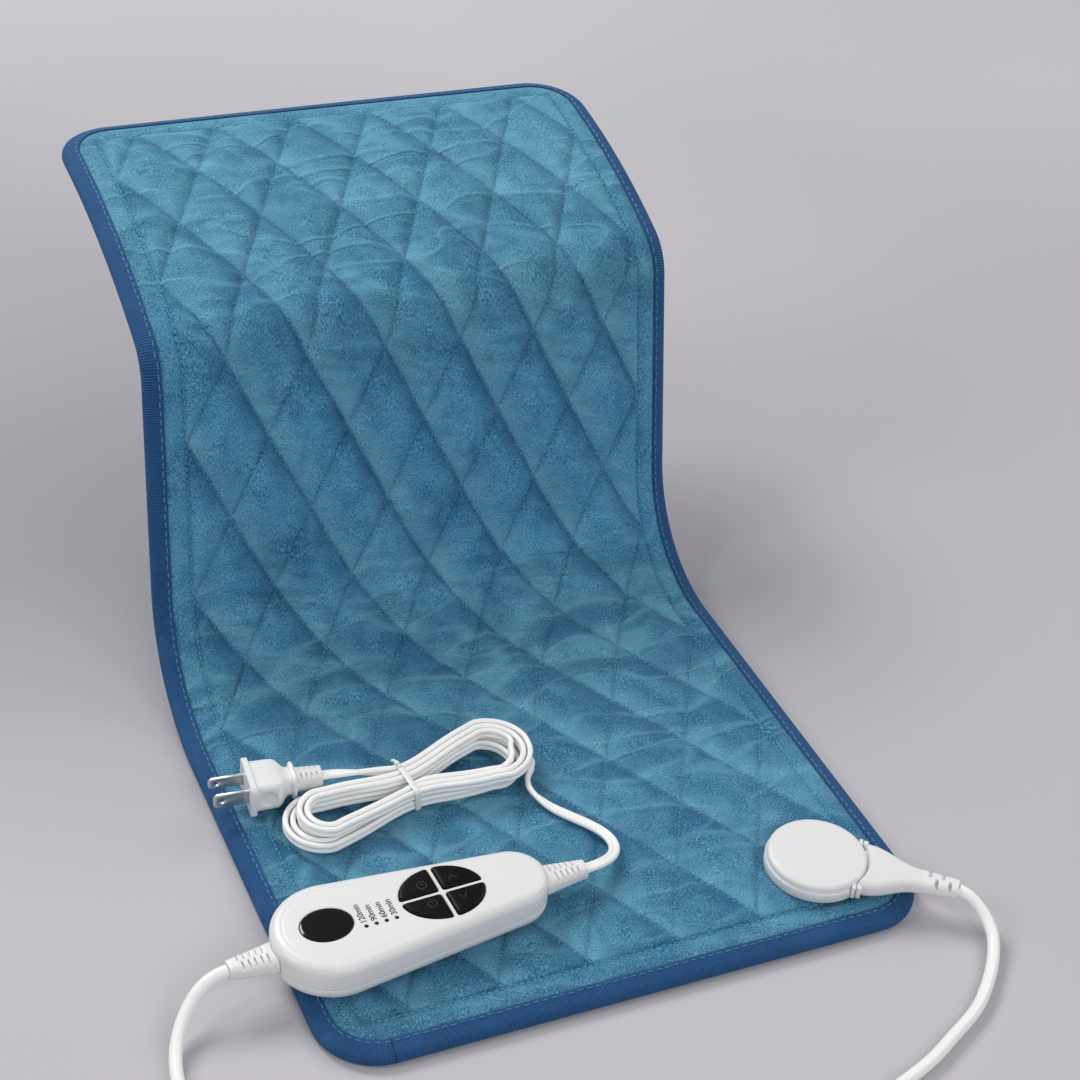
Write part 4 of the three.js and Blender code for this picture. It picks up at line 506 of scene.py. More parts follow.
def resampled(points, spacing):
    """The same polyline with its points at an even spacing."""
    total = path_length(points)
    count = max(round(total / spacing), 2)
    step = total / count
    made = [points[0].copy()]
    travelled = 0
    for first, second in zip(points, points[1:]):
        length = (second - first).length
        while len(made) <= count and travelled + length >= step * len(made) - TINY:
            share = (step * len(made) - travelled) / max(length, TINY)
            made.append(first.lerp(second, min(share, 1)))
        travelled += length
    made[-1] = points[-1].copy()
    return made


# Materials


def linear(red, green, blue):
    """A display colour of 0 to 255 as linear light."""
    shares = (red / 255, green / 255, blue / 255)
    return tuple(
        share / 12.92 if share <= 0.04045 else ((share + 0.055) / 1.055) ** 2.4 for share in shares
    ) + (1,)


def picked(name):
    """A colour of the sidebar's settings."""
    return tuple(getattr(bpy.context.scene.heating_pad_colors, name))


def set_inputs(tree, node, inputs):
    """Sets a node's inputs by name or number, each to a value or to another node's socket."""
    for key, value in inputs.items():
        if isinstance(value, bpy.types.NodeSocket):
            tree.links.new(value, node.inputs[key])
        else:
            node.inputs[key].default_value = value


def add_node(tree, kind, inputs=None, **settings):
    """Adds a node with its properties and its inputs."""
    node = tree.nodes.new(kind)
    for key, value in settings.items():
        setattr(node, key, value)
    set_inputs(tree, node, inputs or {})
    return node


def object_place(tree):
    """A spot's place in its piece's own metres."""
    return add_node(tree, "ShaderNodeTexCoord").outputs["Object"]


def mix_colors(tree, factor, first, second, blend="MIX"):
    """Mixes two colours and returns the result's socket."""
    inputs = {0: factor, 6: first, 7: second}
    return add_node(tree, "ShaderNodeMix", inputs, data_type="RGBA", blend_type=blend).outputs[2]


def spread(tree, value, low, high, to_low=0.0, to_high=1.0):
    """Maps a socket's values from one range to another."""
    return add_node(
        tree, "ShaderNodeMapRange",
        {"Value": value, "From Min": low, "From Max": high, "To Min": to_low, "To Max": to_high},
    ).outputs["Result"]


def grain(tree, place, scale, detail=3.0, roughness=0.55, distortion=0.0):
    """A noise value at a scale of features per metre."""
    return add_node(
        tree, "ShaderNodeTexNoise",
        {"Vector": place, "Scale": scale, "Detail": detail, "Roughness": roughness, "Distortion": distortion},
    ).outputs[0]


def bump(tree, height, distance, strength=1.0, normal=None):
    """A bump node's normal for a height socket, with its depth in millimetres."""
    inputs = {"Height": height, "Distance": distance * MM, "Strength": strength}
    if normal is not None:
        inputs["Normal"] = normal
    return add_node(tree, "ShaderNodeBump", inputs).outputs["Normal"]


def group_once(name, inputs, outputs, fill):
    """A node group with typed sockets, made and filled the first time that it is asked for."""
    group = bpy.data.node_groups.get(name)
    if group is None:
        group = bpy.data.node_groups.new(name, "ShaderNodeTree")
        for label, (kind, default) in inputs.items():
            group.interface.new_socket(label, in_out="INPUT", socket_type=kind).default_value = default
        for label, kind in outputs.items():
            group.interface.new_socket(label, in_out="OUTPUT", socket_type=kind)
        start = group.nodes.new("NodeGroupInput")
        set_inputs(group, group.nodes.new("NodeGroupOutput"), fill(group, start.outputs))
    return group


def group_node(tree, group, inputs=None):
    """Adds a group to a material."""
    return add_node(tree, "ShaderNodeGroup", inputs, node_tree=group)


def calc(tree, operation, *values):
    """The result of a math node."""
    return add_node(tree, "ShaderNodeMath", dict(enumerate(values)), operation=operation).outputs[0]


def vector_calc(tree, operation, *values, output="Vector"):
    """A result of a vector math node."""
    node = add_node(tree, "ShaderNodeVectorMath", dict(enumerate(values)), operation=operation)
    return node.outputs[output]


def attribute(tree, name):
    """A piece's own value, in millimetres."""
    return add_node(tree, "ShaderNodeAttribute", attribute_name=name).outputs["Fac"]


def seam_group():
    """How far a spot of the pad's cloth is from its quilting, and its place on the flat cloth."""

    def fill(group, _):
        across = attribute(group, "across_mm")
        along = attribute(group, "along_mm")
        column = calc(group, "DIVIDE", calc(group, "SUBTRACT", across, BORDER_INSET), COLUMN_PITCH)
        row = calc(group, "DIVIDE", calc(group, "SUBTRACT", along, QUILT_FRONT), ROW_PITCH)
        lines = []
        for operation in ("ADD", "SUBTRACT"):
            half = calc(group, "MULTIPLY", calc(group, operation, column, row), 0.5)
            share = calc(group, "MULTIPLY_ADD", calc(group, "FRACT", half), 2.0, -1.0)
            lines.append(calc(group, "MULTIPLY", share, DIAMOND_DEPTH))
        falling, rising = lines
        fainter = calc(group, "ADD", calc(group, "ABSOLUTE", rising), 0.2)
        seam = calc(group, "MINIMUM", calc(group, "ABSOLUTE", falling), fainter)
        side = calc(group, "MINIMUM", across, calc(group, "SUBTRACT", PAD_WIDTH, across))
        tip = calc(group, "MINIMUM", along, calc(group, "SUBTRACT", PAD_LENGTH, along))
        inset = calc(group, "MINIMUM", side, tip)
        outside = calc(group, "LESS_THAN", inset, BORDER_INSET)
        seam = calc(group, "MULTIPLY_ADD", outside, FAR_FROM_SEAMS, seam)
        border = calc(group, "ABSOLUTE", calc(group, "SUBTRACT", inset, BORDER_INSET))
        flat = {"X": calc(group, "MULTIPLY", across, MM), "Y": calc(group, "MULTIPLY", along, MM)}
        return {
            "Distance": calc(group, "MINIMUM", seam, border),
            "Flank": calc(group, "MULTIPLY_ADD", outside, FAR_FROM_SEAMS, falling),
            "Place": add_node(group, "ShaderNodeCombineXYZ", flat).outputs[0],
        }

    return group_once("Quilt Seams", {}, {"Distance": VALUE, "Flank": VALUE, "Place": VECTOR}, fill)


def nap_group():
    """Brushed pile: light and dark patches, fine fibres that turn this way and that, painted light and shade
    on the puffs' flanks and on the wrinkles, and seams drawn in by a bump and darkened with painted shade.
    """

    def fill(group, given):
        place = given["Place"]
        turned = add_node(group, "ShaderNodeTexNoise", {"Vector": place, "Scale": 34.0, "Detail": 2.0})
        shift = vector_calc(group, "SUBTRACT", turned.outputs[1], (0.5, 0.5, 0.5))
        shift = vector_calc(group, "MULTIPLY", shift, (0.02, 0.02, 0))
        lying = vector_calc(group, "MULTIPLY", vector_calc(group, "ADD", place, shift), (1, 0.55, 1))
        patches = grain(group, place, 24, 2, 0.5, 0.9)
        strokes = grain(group, lying, 130, 4, 0.6, 0.5)
        tufts = grain(group, lying, 1300, 2, 0.65)
        fibres = grain(group, lying, 2300, 2, 0.65)
        color = given["Base"]

        def lean(towards, *shares):
            """Mixes the colour towards the light or the dark one by the product of its shares."""
            amount = shares[0] if len(shares) == 1 else calc(group, "MULTIPLY", *shares)
            return mix_colors(group, amount, color, given[towards])

        for value, low, high, amount in (
            (patches, 0.5, 0.7, 0.5), (strokes, 0.5, 0.74, 0.5), (tufts, 0.5, 0.7, 0.9),
        ):
            color = lean("Light", spread(group, value, low, high, 0, amount))
            color = lean("Dark", spread(group, value, low, 1 - high, 0, amount))
        flank = given["Flank"]
        uneven = spread(group, grain(group, place, 40, 2), 0.35, 0.65, 0.3, 0.85)
        lit = calc(group, "MULTIPLY", spread(group, flank, 0.4, 1.6), spread(group, flank, 16, 2.5))
        shaded = calc(group, "MULTIPLY", spread(group, flank, 0.2, -0.8), spread(group, flank, -13, -1.2))
        color = lean("Light", lit, uneven)
        color = lean("Dark", shaded, uneven)
        folded = grain(group, vector_calc(group, "MULTIPLY", place, (15, 40, 1)), 1, 0.8, 0.4, 0.5)
        fold = calc(group, "ABSOLUTE", calc(group, "SUBTRACT", folded, 0.5))
        crest = calc(group, "MULTIPLY", spread(group, fold, 0.06, 0), given["Wrinkles"])
        hollow = calc(group, "MULTIPLY", spread(group, folded, 0.5, 0.36), given["Wrinkles"])
        # Painted light on the wrinkles' crests and painted shade in their hollows, beside the crests' bump
        color = lean("Light", crest, 0.6)
        color = lean("Dark", hollow, 0.4)
        # Painted shade: the seams' creases are darkened, broken up by the pile
        frayed = calc(group, "MULTIPLY_ADD", tufts, 1.6, calc(group, "SUBTRACT", given["Seam"], 0.8))
        crease = spread(group, frayed, 1.25, 0.3, 0, spread(group, strokes, 0.32, 0.66, 0.05, 0.5))
        seam_shade_color = mix_colors(group, 1.0, given["Dark"], (0.62, 0.68, 0.74, 1), "MULTIPLY")
        color = mix_colors(group, crease, color, seam_shade_color)
        speck = spread(group, fibres, 0.3, 0.7, 0.4, 1.5)
        grey = {"Red": speck, "Green": speck, "Blue": speck}
        shade = add_node(group, "ShaderNodeCombineColor", grey).outputs[0]
        normal = bump(group, crest, 1.6, 0.9)
        normal = bump(group, strokes, 0.45, 0.5, normal)
        normal = bump(group, tufts, 0.22, 0.7, normal)
        normal = bump(group, fibres, 0.18, 0.9, normal)
        normal = bump(group, spread(group, frayed, 0, 1.5), 0.5, 0.7, normal)
        return {"Color": mix_colors(group, 1.0, color, shade, "MULTIPLY"), "Normal": normal}

    inputs = {
        "Base": (COLOR, (0.1, 0.3, 0.4, 1)),
        "Light": (COLOR, (0.2, 0.4, 0.5, 1)),
        "Dark": (COLOR, (0.05, 0.2, 0.3, 1)),
        "Place": (VECTOR, (0, 0, 0)),
        "Seam": (VALUE, 50.0),
        "Flank": (VALUE, 50.0),
        "Wrinkles": (VALUE, 0.0),
    }
    return group_once("Brushed Nap", inputs, {"Color": COLOR, "Normal": VECTOR}, fill)


def moulded_group():
    """Moulded plastic: faint flow marks, a fine skin and uneven gloss."""

    def fill(group, given):
        place = object_place(group)
        flow = grain(group, place, 26, 1.5, 0.4)
        skin = grain(group, place, 1500, 2, 0.5)
        faint = spread(group, flow, 0.3, 0.7, 0, 0.4)
        uneven = spread(group, flow, 0.35, 0.65, -0.05, 0.06)
        return {
            "Color": mix_colors(group, faint, given["Base"], given["Shade"]),
            "Roughness": calc(group, "ADD", given["Gloss"], uneven),
            "Normal": bump(group, skin, 0.02, 0.35, bump(group, flow, 0.15, 0.06)),
        }

    inputs = {
        "Base": (COLOR, (0.8, 0.8, 0.8, 1)),
        "Shade": (COLOR, (0.7, 0.7, 0.7, 1)),
        "Gloss": (VALUE, 0.3),
    }
    return group_once("Moulded Surface", inputs, {"Color": COLOR, "Roughness": VALUE, "Normal": VECTOR}, fill)


def tape_group():
    """Ribbed woven tape: ribs that run across the tape, with finer threads along it."""

    def fill(group, given):
        place = object_place(group)
        turns = calc(group, "DIVIDE", attribute(group, "along_mm"), given["Rib Pitch"])
        ribs = calc(group, "SINE", calc(group, "MULTIPLY", turns, 2 * math.pi))
        picks = calc(group, "SINE", calc(group, "MULTIPLY", attribute(group, "across_mm"), 9.5))
        relief = calc(group, "MULTIPLY_ADD", picks, 0.25, ribs)
        wear = grain(group, place, 420, 4, 0.6)
        patches = grain(group, place, 70, 3, 0.6)
        color = given["Base"]
        # Painted light: the rib crests are coloured lighter, beside their bump
        for share in (
            spread(group, relief, -0.4, 1.2, 0, 0.8),
            spread(group, wear, 0.5, 0.75, 0, 0.25),
            spread(group, patches, 0.5, 0.75, 0, 0.3),
        ):
            color = mix_colors(group, share, color, given["Light"])
        return {"Color": color, "Normal": bump(group, wear, 0.08, 0.5, bump(group, relief, 0.12, 0.9))}

    inputs = {
        "Base": (COLOR, (0.02, 0.1, 0.2, 1)),
        "Light": (COLOR, (0.05, 0.15, 0.3, 1)),
        "Rib Pitch": (VALUE, 1.0),
    }
    return group_once("Ribbed Tape", inputs, {"Color": COLOR, "Normal": VECTOR}, fill)


def metal_group():
    """Rolled and plated metal: fine scratches along the blade and soft smudges."""

    def fill(group, given):
        place = object_place(group)
        stretched = add_node(group, "ShaderNodeMapping", {"Vector": place, "Scale": (0.12, 1, 1)}).outputs[0]
        scratches = grain(group, stretched, 2600, 3, 0.7)
        smudges = spread(group, grain(group, place, 260, 3, 0.5), 0.4, 0.7, 0, 0.7)
        return {
            "Color": mix_colors(group, smudges, given["Base"], given["Shade"]),
            "Roughness": spread(group, scratches, 0.3, 0.7, 0.34, 0.5),
            "Normal": bump(group, scratches, 0.015, 0.5),
        }

    inputs = {"Base": (COLOR, (0.6, 0.6, 0.6, 1)), "Shade": (COLOR, (0.4, 0.4, 0.4, 1))}
    return group_once("Plated Metal", inputs, {"Color": COLOR, "Roughness": VALUE, "Normal": VECTOR}, fill)


def material_once(name, dress):
    """A material that is made the first time it is asked for, and dressed by a function."""
    material = bpy.data.materials.get(name)
    if material is None:
        material = bpy.data.materials.new(name)
        material.use_nodes = True
        dress(material.node_tree, material.node_tree.nodes["Principled BSDF"])
    return material


def surface_of(node):
    """A group's outputs by the names of the shader's inputs that they feed."""
    feeds = {"Color": "Base Color", "Roughness": "Roughness", "Normal": "Normal"}
    return {feeds[socket.name]: socket for socket in node.outputs}


def plush_material():
    """Teal-blue short plush, with painted light and shade: a lighter or darker tone in each run of the bent
    pad.
    """

    def dress(tree, shader):
        seams = group_node(tree, seam_group()).outputs
        along = attribute(tree, "along_mm")
        before_steep = spread(tree, along, 350, 265)
        lower_bend = calc(tree, "MULTIPLY", spread(tree, along, 10, 190, 0.3, 1), before_steep)
        bent = calc(tree, "ADD", lower_bend, spread(tree, along, 395, 470, 0, 0.55))
        lying_flat = spread(tree, along, 270, 190)
        steep = calc(tree, "MULTIPLY", spread(tree, along, 260, 320), spread(tree, along, 450, 400))
        # Painted light and shade: each run of the bent pad gets its own tone of the plush
        base = mix_colors(tree, lying_flat, picked("plush_bend"), picked("plush_front"))
        base = mix_colors(tree, steep, base, picked("plush_steep"))
        base = mix_colors(tree, spread(tree, along, 430, 500), base, picked("plush_tail"))
        # Light and Dark give the nap's random patches and also the painted light and shade
        inputs = {
            "Base": base, "Light": picked("plush_light"), "Dark": picked("plush_dark"),
            "Place": seams["Place"], "Seam": seams["Distance"], "Flank": seams["Flank"], "Wrinkles": bent,
        }
        set_inputs(tree, shader, {
            **surface_of(group_node(tree, nap_group(), inputs)),
            "Roughness": 0.95, "Specular IOR Level": 0.15,
            "Sheen Weight": 0.25, "Sheen Roughness": 0.5, "Sheen Tint": linear(150, 202, 228),
        })

    return material_once("plush_teal", dress)


def tape_material():
    """Dark blue binding tape."""

    def dress(tree, shader):
        # Light is the tape's lighter tone and also the painted light on its ribs
        inputs = {"Base": picked("binding_tape"), "Light": linear(46, 99, 148), "Rib Pitch": 1.2}
        set_inputs(tree, shader, {
            **surface_of(group_node(tree, tape_group(), inputs)),
            "Roughness": 0.8, "Specular IOR Level": 0.25,
            "Sheen Weight": 0.2, "Sheen Tint": linear(120, 170, 215),
        })

    return material_once("binding_tape", dress)


def thread_material(name, light):
    """Sewing thread with its twist."""

    def dress(tree, shader):
        twist = grain(tree, object_place(tree), 5200, 2, 0.6, 0.8)
        set_inputs(tree, shader, {
            "Base Color": mix_colors(tree, spread(tree, twist, 0.4, 0.65), picked(name), linear(*light)),
            "Normal": bump(tree, twist, 0.05, 0.7),
            "Roughness": 0.6, "Sheen Weight": 0.15,
        })

    return material_once(name, dress)


def moulded_material(name):
    """Moulded plastic or soft rubber with one of the finishes."""

    def dress(tree, shader):
        shade, gloss, coat, specular, depth = MOULDED_FINISHES[name]
        inputs = {"Base": picked(name), "Shade": linear(*shade), "Gloss": gloss}
        set_inputs(tree, shader, {
            **surface_of(group_node(tree, moulded_group(), inputs)),
            "Specular IOR Level": specular, "Coat Weight": coat, "Coat Roughness": 0.12,
            "Subsurface Weight": depth, "Subsurface Radius": (0.004, 0.003, 0.003), "Subsurface Scale": 0.5,
        })

    return material_once(name, dress)


def nickel_material():
    """Plated contacts, blades and screws."""

    def dress(tree, shader):
        inputs = {"Base": linear(214, 213, 209), "Shade": linear(188, 187, 183)}
        plate = group_node(tree, metal_group(), inputs)
        set_inputs(tree, shader, {**surface_of(plate), "Metallic": 1})

    return material_once("nickel_plate", dress)


def felt_material():
    """Needled felt under the cover."""

    def dress(tree, shader):
        inputs = {
            "Base": linear(232, 228, 218), "Light": linear(246, 243, 236), "Dark": linear(205, 200, 188),
            "Place": object_place(tree),
        }
        felt = group_node(tree, nap_group(), inputs)
        set_inputs(tree, shader, {**surface_of(felt), "Roughness": 0.95})

    return material_once("element_felt_white", dress)


def board_material():
    """Green laminate of the circuit board with its copper pattern showing faintly."""

    def dress(tree, shader):
        inputs = {"Vector": object_place(tree), "Scale": 260.0}
        tracks = add_node(tree, "ShaderNodeTexVoronoi", inputs, distance="CHEBYCHEV")
        mask = spread(tree, tracks.outputs["Distance"], 0.42, 0.5)
        set_inputs(tree, shader, {
            "Base Color": mix_colors(tree, mask, linear(28, 90, 52), linear(46, 122, 70)),
            "Normal": bump(tree, mask, 0.04, 0.6),
            "Roughness": 0.4,
        })

    return material_once("board_laminate", dress)


def floor_material():
    """Matt pale grey paper, with painted shade behind the pad and painted light far away."""

    def dress(tree, shader):
        place = object_place(tree)
        broad = spread(tree, grain(tree, place, 1.4, 2, 0.5), 0.35, 0.65)
        tone = mix_colors(tree, broad, picked("studio_paper"), linear(189, 187, 191))
        # Painted shade: the paper is darkened from the front to just behind the pad, a little less further
        # back, and most at the left
        back = vector_calc(tree, "DOT_PRODUCT", place, (0.43, 0.9, 0), output="Value")
        near = spread(tree, back, -0.2, 0.06, 0, 0.62)
        far = spread(tree, back, 0.1, 0.6, 0, 0.2)
        split = add_node(tree, "ShaderNodeSeparateXYZ", {"Vector": place})
        leftness = spread(tree, split.outputs["X"], -0.25, 0.3, 1.3, 0.1)
        fall = calc(tree, "MULTIPLY", calc(tree, "SUBTRACT", near, far), leftness)
        tone = mix_colors(tree, fall, tone, linear(142, 141, 147))
        # Painted light: the paper turns lighter far from the middle
        reach = vector_calc(tree, "LENGTH", place, output="Value")
        tone = mix_colors(tree, spread(tree, reach, 0.7, 2.4, 0, 0.85), tone, linear(243, 242, 246))
        fibre = spread(tree, grain(tree, place, 900, 3, 0.6), 0.3, 0.7, 0, 0.06)
        set_inputs(tree, shader, {
            "Base Color": mix_colors(tree, fibre, tone, linear(214, 212, 216)),
            "Roughness": 0.7, "Specular IOR Level": 0.2,
        })

    return material_once("studio_paper", dress)


# Routes of the cords


PAD_LEAD_ROUTE = (
    (321.4, -8.5, 11.2), (322.3, -20.6, 6), (316.2, -32.2, 3.3), (305.5, -44.8, 3.05), (290.6, -58.2, 3.05),
    (270.5, -69.3, 3.05), (254.5, -77.8, 3.05), (222, -89, 3.05), (190, -98, 3.05), (160, -104.5, 3.05),
    (130, -108.5, 3.05), (95, -108.5, 3.05), (60, -103.5, 3.05), (25, -93.5, 3.05), (-10, -76.5, 3.05),
    (-37, -54.5, 3.05), (-54, -31.5, 3.05), (-61, -9.5, 3.05), (-62.8, 8, 3.05), (-61.8, 24.5, 3.4),
    (-58.6, 36.4, 5.2), (-53.4, 46, 9), (-46.2, 53.4, 14.2), (-39.4, 57.1, 18.6),
)

MAINS_CORD_ROUTE = (
    (156.2, 68.3, 19.6), (163.6, 72.4, 17.2), (169.3, 78.6, 14.8), (171.6, 86.2, 13.4), (170.2, 93.6, 12.9),
    (166, 100.8, 12.8), (159.6, 109.2, 12.8), (153.8, 117.4, 12.8), (150.3, 125, 13.2), (148.3, 132.3, 13.9),
    (150.4, 139.9, 14.5),
)


def pad_lead_path():
    """Centreline of the pad's lead from the connector's boot to the controller's."""
    relief_end = GRIP_END + BOOT_GAP + GRIP_BOOT_LENGTH
    start = socket_place((relief_end, 0, MOUTH_MIDDLE))
    after = socket_place((relief_end + 3, 0, MOUTH_MIDDLE))
    tip = WIDE_X - WIDE_RADIUS - BOOT_LENGTH
    before = controller_place((tip - 3.3, 0, BOOT_AXIS))
    end = controller_place((tip - 0.1, 0, BOOT_AXIS))
    knots = [start, after] + [row_point(point) for point in PAD_LEAD_ROUTE] + [before, end]
    return spline_points(knots, 0.003)


def hank_stations(cap_steps, run_steps):
    """Stations of one loop: right end, far run, left end, near run and back to the right end."""
    stations = []

    def cap(side, first, steps):
        for step in range(steps):
            stations.append(("cap", side, first + math.pi * step / cap_steps, 0))

    def run(side, kind):
        for step in range(run_steps):
            stations.append((kind, side * (1 - 2 * step / run_steps), 0, step / run_steps))

    cap(1, 0, cap_steps // 2)
    run(1, "far")
    cap(-1, math.pi / 2, cap_steps)
    run(-1, "near")
    cap(1, -math.pi / 2, cap_steps // 2)
    return stations


def hank_spot(station, inward, height, loop):
    """A spot of the hank in its own millimetres, its upper layer fanned out at the lobes."""
    kind, side, turn, _ = station
    lobe_width = HANK_HALF_WIDTH if side > 0 else HANK_LEFT_HALF_WIDTH
    half_width = lobe_width - inward
    straight = HANK_HALF_LENGTH - HANK_HALF_WIDTH
    if kind == "cap":
        x = side * straight + half_width * math.cos(turn)
        y = half_width * math.sin(turn)
    else:
        x = side * straight
        drawn = (lobe_width - HANK_TIE_HALF_WIDTH) * math.exp(-((x / HANK_WAIST_REACH) ** 2))
        y = (-1 if kind == "near" else 1) * (half_width - drawn)
    lobe = ease((abs(x) - 20) / 35)
    shift = noise.noise(Vector((loop * 3.7, 0.5 if x > 0 else 9.5, 1.3)))
    fan = 1 if loop >= HANK_LOOPS else -0.4
    out = math.copysign(0.8 * shift * lobe, x)
    return (x + out + fan * 2.0 * lobe, y + math.copysign(1.3 * fan * lobe, x), height + 0.2 * shift * lobe)


def hank_path():
    """Centreline of the hank, two layers of loops that wind in and then out again."""
    cap_steps = 24
    run_steps = 32
    stations = hank_stations(cap_steps, run_steps)
    cap_end = cap_steps // 2 + run_steps + cap_steps
    points = [(HANK_HALF_LENGTH, -CORD_WIDTH, HANK_BOTTOM), (HANK_HALF_LENGTH, -CORD_WIDTH / 2, HANK_BOTTOM)]
    for loop in range(2 * HANK_LOOPS):
        upper = loop >= HANK_LOOPS
        steps = len(stations)
        if loop == 2 * HANK_LOOPS - 1:
            steps = cap_steps // 2 + run_steps // 2 + 1
        for step in range(steps):
            station = stations[step]
            near_share = station[3] if station[0] == "near" else float(step > cap_end)
            position = 2 * HANK_LOOPS - 1 - loop if upper else loop
            climb = 1.0 if upper else 0.0
            if loop < HANK_LOOPS - 1:
                position += ease((near_share - 5 / 8) / (3 / 8))
            if upper:
                position -= ease(near_share / (3 / 8))
            if loop == HANK_LOOPS - 1:
                climb = ease((near_share - 3 / 8) / (2 / 8))
            points.append(hank_spot(station, position * HANK_STEP, HANK_BOTTOM + HANK_RISE * climb, loop))
    return [hank_place(point) for point in points]


def mains_cord_path():
    """Centreline of the whole mains cord, with the roll of its flat section at each point."""
    tip = SLIM_X + SLIM_RADIUS + BOOT_LENGTH
    start = controller_place((tip + 0.1, 0, BOOT_AXIS))
    after = controller_place((tip + 3.1, 0, BOOT_AXIS))
    free = [start, after] + [row_point(point) for point in MAINS_CORD_ROUTE]
    free.append(hank_place((HANK_HALF_LENGTH, -2 * CORD_WIDTH, HANK_BOTTOM)))
    wound = hank_path()
    first = spline_points(free + [wound[0]], 0.0015)
    last = wound[-1]
    leaving = hank_place((-math.cos(HANK_EXIT), math.sin(HANK_EXIT), 0)) - hank_place((0, 0, 0))
    leaving.normalize()
    tail = [last, last + leaving * 0.0056, plug_place((-42.6, 0, 0)), plug_place((-36.9, 0, 0))]
    third = spline_points(tail, 0.0015)
    second = resampled(wound, 0.0015)
    rolls = []
    for number in range(len(first)):
        share = number / (len(first) - 1)
        rolls.append(math.pi / 2 * ease((share - 0.55) / 0.35))
    rolls += [math.pi / 2] * (len(second) - 1)
    for number in range(1, len(third)):
        rolls.append(math.pi / 2 * (1 - ease(number / (len(third) - 1))))
    return first + second[1:] + third[1:], rolls


def relaxed(points, passes):
    """Rounds small kinks of a polyline, with its ends kept."""
    for _ in range(passes):
        middle = [
            (before + point * 2 + after) / 4
            for before, point, after in zip(points, points[1:], points[2:])
        ]
        points = [points[0]] + middle + [points[-1]]
    return points


def build_pad_lead():
    """Round lead from the connector to the controller."""
    path = relaxed(pad_lead_path(), 4)
    vertices, faces = loft(sweep(path, round_section(PAD_LEAD_RADIUS), [0] * len(path)))
    piece = make_object("pad_lead_sheath", vertices, faces, moulded_material("cord_sheath"), "lead_set")
    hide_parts("pad_lead")
    tuple(path[0])
    [tuple(point) for point in path]


def build_mains_cord():
    """Flat twin cord from the controller through the hank to the plug."""
    path, rolls = mains_cord_path()
    path = relaxed(path, 3)
    vertices, faces = loft(sweep(path, twin_section(), rolls))
    piece = make_object("mains_cord_sheath", vertices, faces, moulded_material("cord_sheath"), "lead_set", 60)
    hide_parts("mains_cord", "mains_cord_hank", "plug_cord")
    tuple(path[0])
    [tuple(point) for point in path]


# Pad


def from_odd(value):
    """Distance of a value from the nearest odd number."""
    return abs(value - 2 * math.floor(value / 2) - 1)


def stitch_distance(across, along):
    """Millimetres from the nearest diagonal row of quilting."""
    column = (across - BORDER_INSET) / COLUMN_PITCH
    row = (along - QUILT_FRONT) / ROW_PITCH
    return DIAMOND_DEPTH * min(from_odd(column + row), from_odd(column - row))


def bell(value, middle, reach):
    """A bell curve of height 1 round a middle."""
    return math.exp(-(((value - middle) / reach) ** 2))


def crease_amount(along):
    """How much the cloth wrinkles where it bends."""
    return max(bell(along, 262, 52), 0.7 * bell(along, 428, 38))


def cloth_noise(x, y, seed):
    """Smooth noise of the cloth, each kind with a seed of its own."""
    return noise.noise(Vector((x, y, seed)))


def roll_height(inset):
    """Height of the straight rise from the cloth's edge to its rolled border."""
    return EDGE_HEIGHT + (inset - SHEET_INSET) * (ROLL_HEIGHT - EDGE_HEIGHT) / (ROLL_INSET - SHEET_INSET)


def top_height(across, along, inset):
    """Height of the plush face over the pad's underside."""
    if inset <= SHEET_INSET:
        return EDGE_HEIGHT
    if inset < PILE_START:
        return roll_height(inset)
    pucker = cloth_noise(across * 0.17, along * 0.17, 2.7)
    pucker += 0.5 * cloth_noise(across * 0.42, along * 0.42, 6.3)
    broad = cloth_noise(across * 0.03, along * 0.03, 8.1)
    if inset < BORDER_INSET:
        start = roll_height(PILE_START)
        share = (inset - PILE_START) / (BORDER_INSET - PILE_START)
        swell = math.sin(math.pi * min(share, 1) ** 0.9)
        level = start + (STITCH_HEIGHT - start) * share
        return level + (1.2 + 0.5 * broad) * swell + 0.5 * pucker * swell
    away = min(stitch_distance(across, along), (inset - BORDER_INSET) * 1.4)
    dome = math.sin(math.pi / 2 * min(away / DIAMOND_DEPTH * 1.15, 1))
    rise = 1 - math.exp(-away / 2)
    bent = crease_amount(along)
    calm = ease((along - 207) / 30)
    crown = CROWN_HEIGHT - 0.2 + 1.7 * calm
    height = STITCH_HEIGHT + (crown - STITCH_HEIGHT) * (0.45 * rise + 0.55 * dome)
    height += (0.9 + 0.7 * bent) * pucker * math.exp(-away / 7) * rise
    height += (0.7 + 2.2 * bent) * cloth_noise(across * 0.05, along * 0.16 + across * 0.03, 5.5) * rise
    height += 0.9 * broad * dome
    drift = cloth_noise(across * 0.04, along * 0.05, 12.4)
    crest = 1 - 2.4 * abs(cloth_noise(across * 0.021, along * 0.06 + 0.6 * drift, 15.8))
    height += 1.5 * bent * (max(crest, 0) ** 3 - 0.3) * rise
    ceiling = CROWN_HEIGHT + 0.05 + 3 * calm
    return min(height, ceiling - 0.25 * math.exp(-abs(height - ceiling) * 2))


def back_height(across, along, inset):
    """Height of the back cloth's outer face, drawn up a little at the quilting."""
    if inset < 11.4:
        return 1.4
    lift = 1.4 * (1 - ease((inset - 11.4) / 1.6))
    away = min(stitch_distance(across, along), abs(inset - BORDER_INSET) * 1.4)
    return lift + 0.8 * math.exp(-away / 3.2) * ease((inset - 12.5) / 3)


def grid_lines(low, high, spacing):
    """Evenly spaced numbers that include both ends."""
    count = max(round((high - low) / spacing), 2)
    return [low + (high - low) * number / count for number in range(count + 1)]


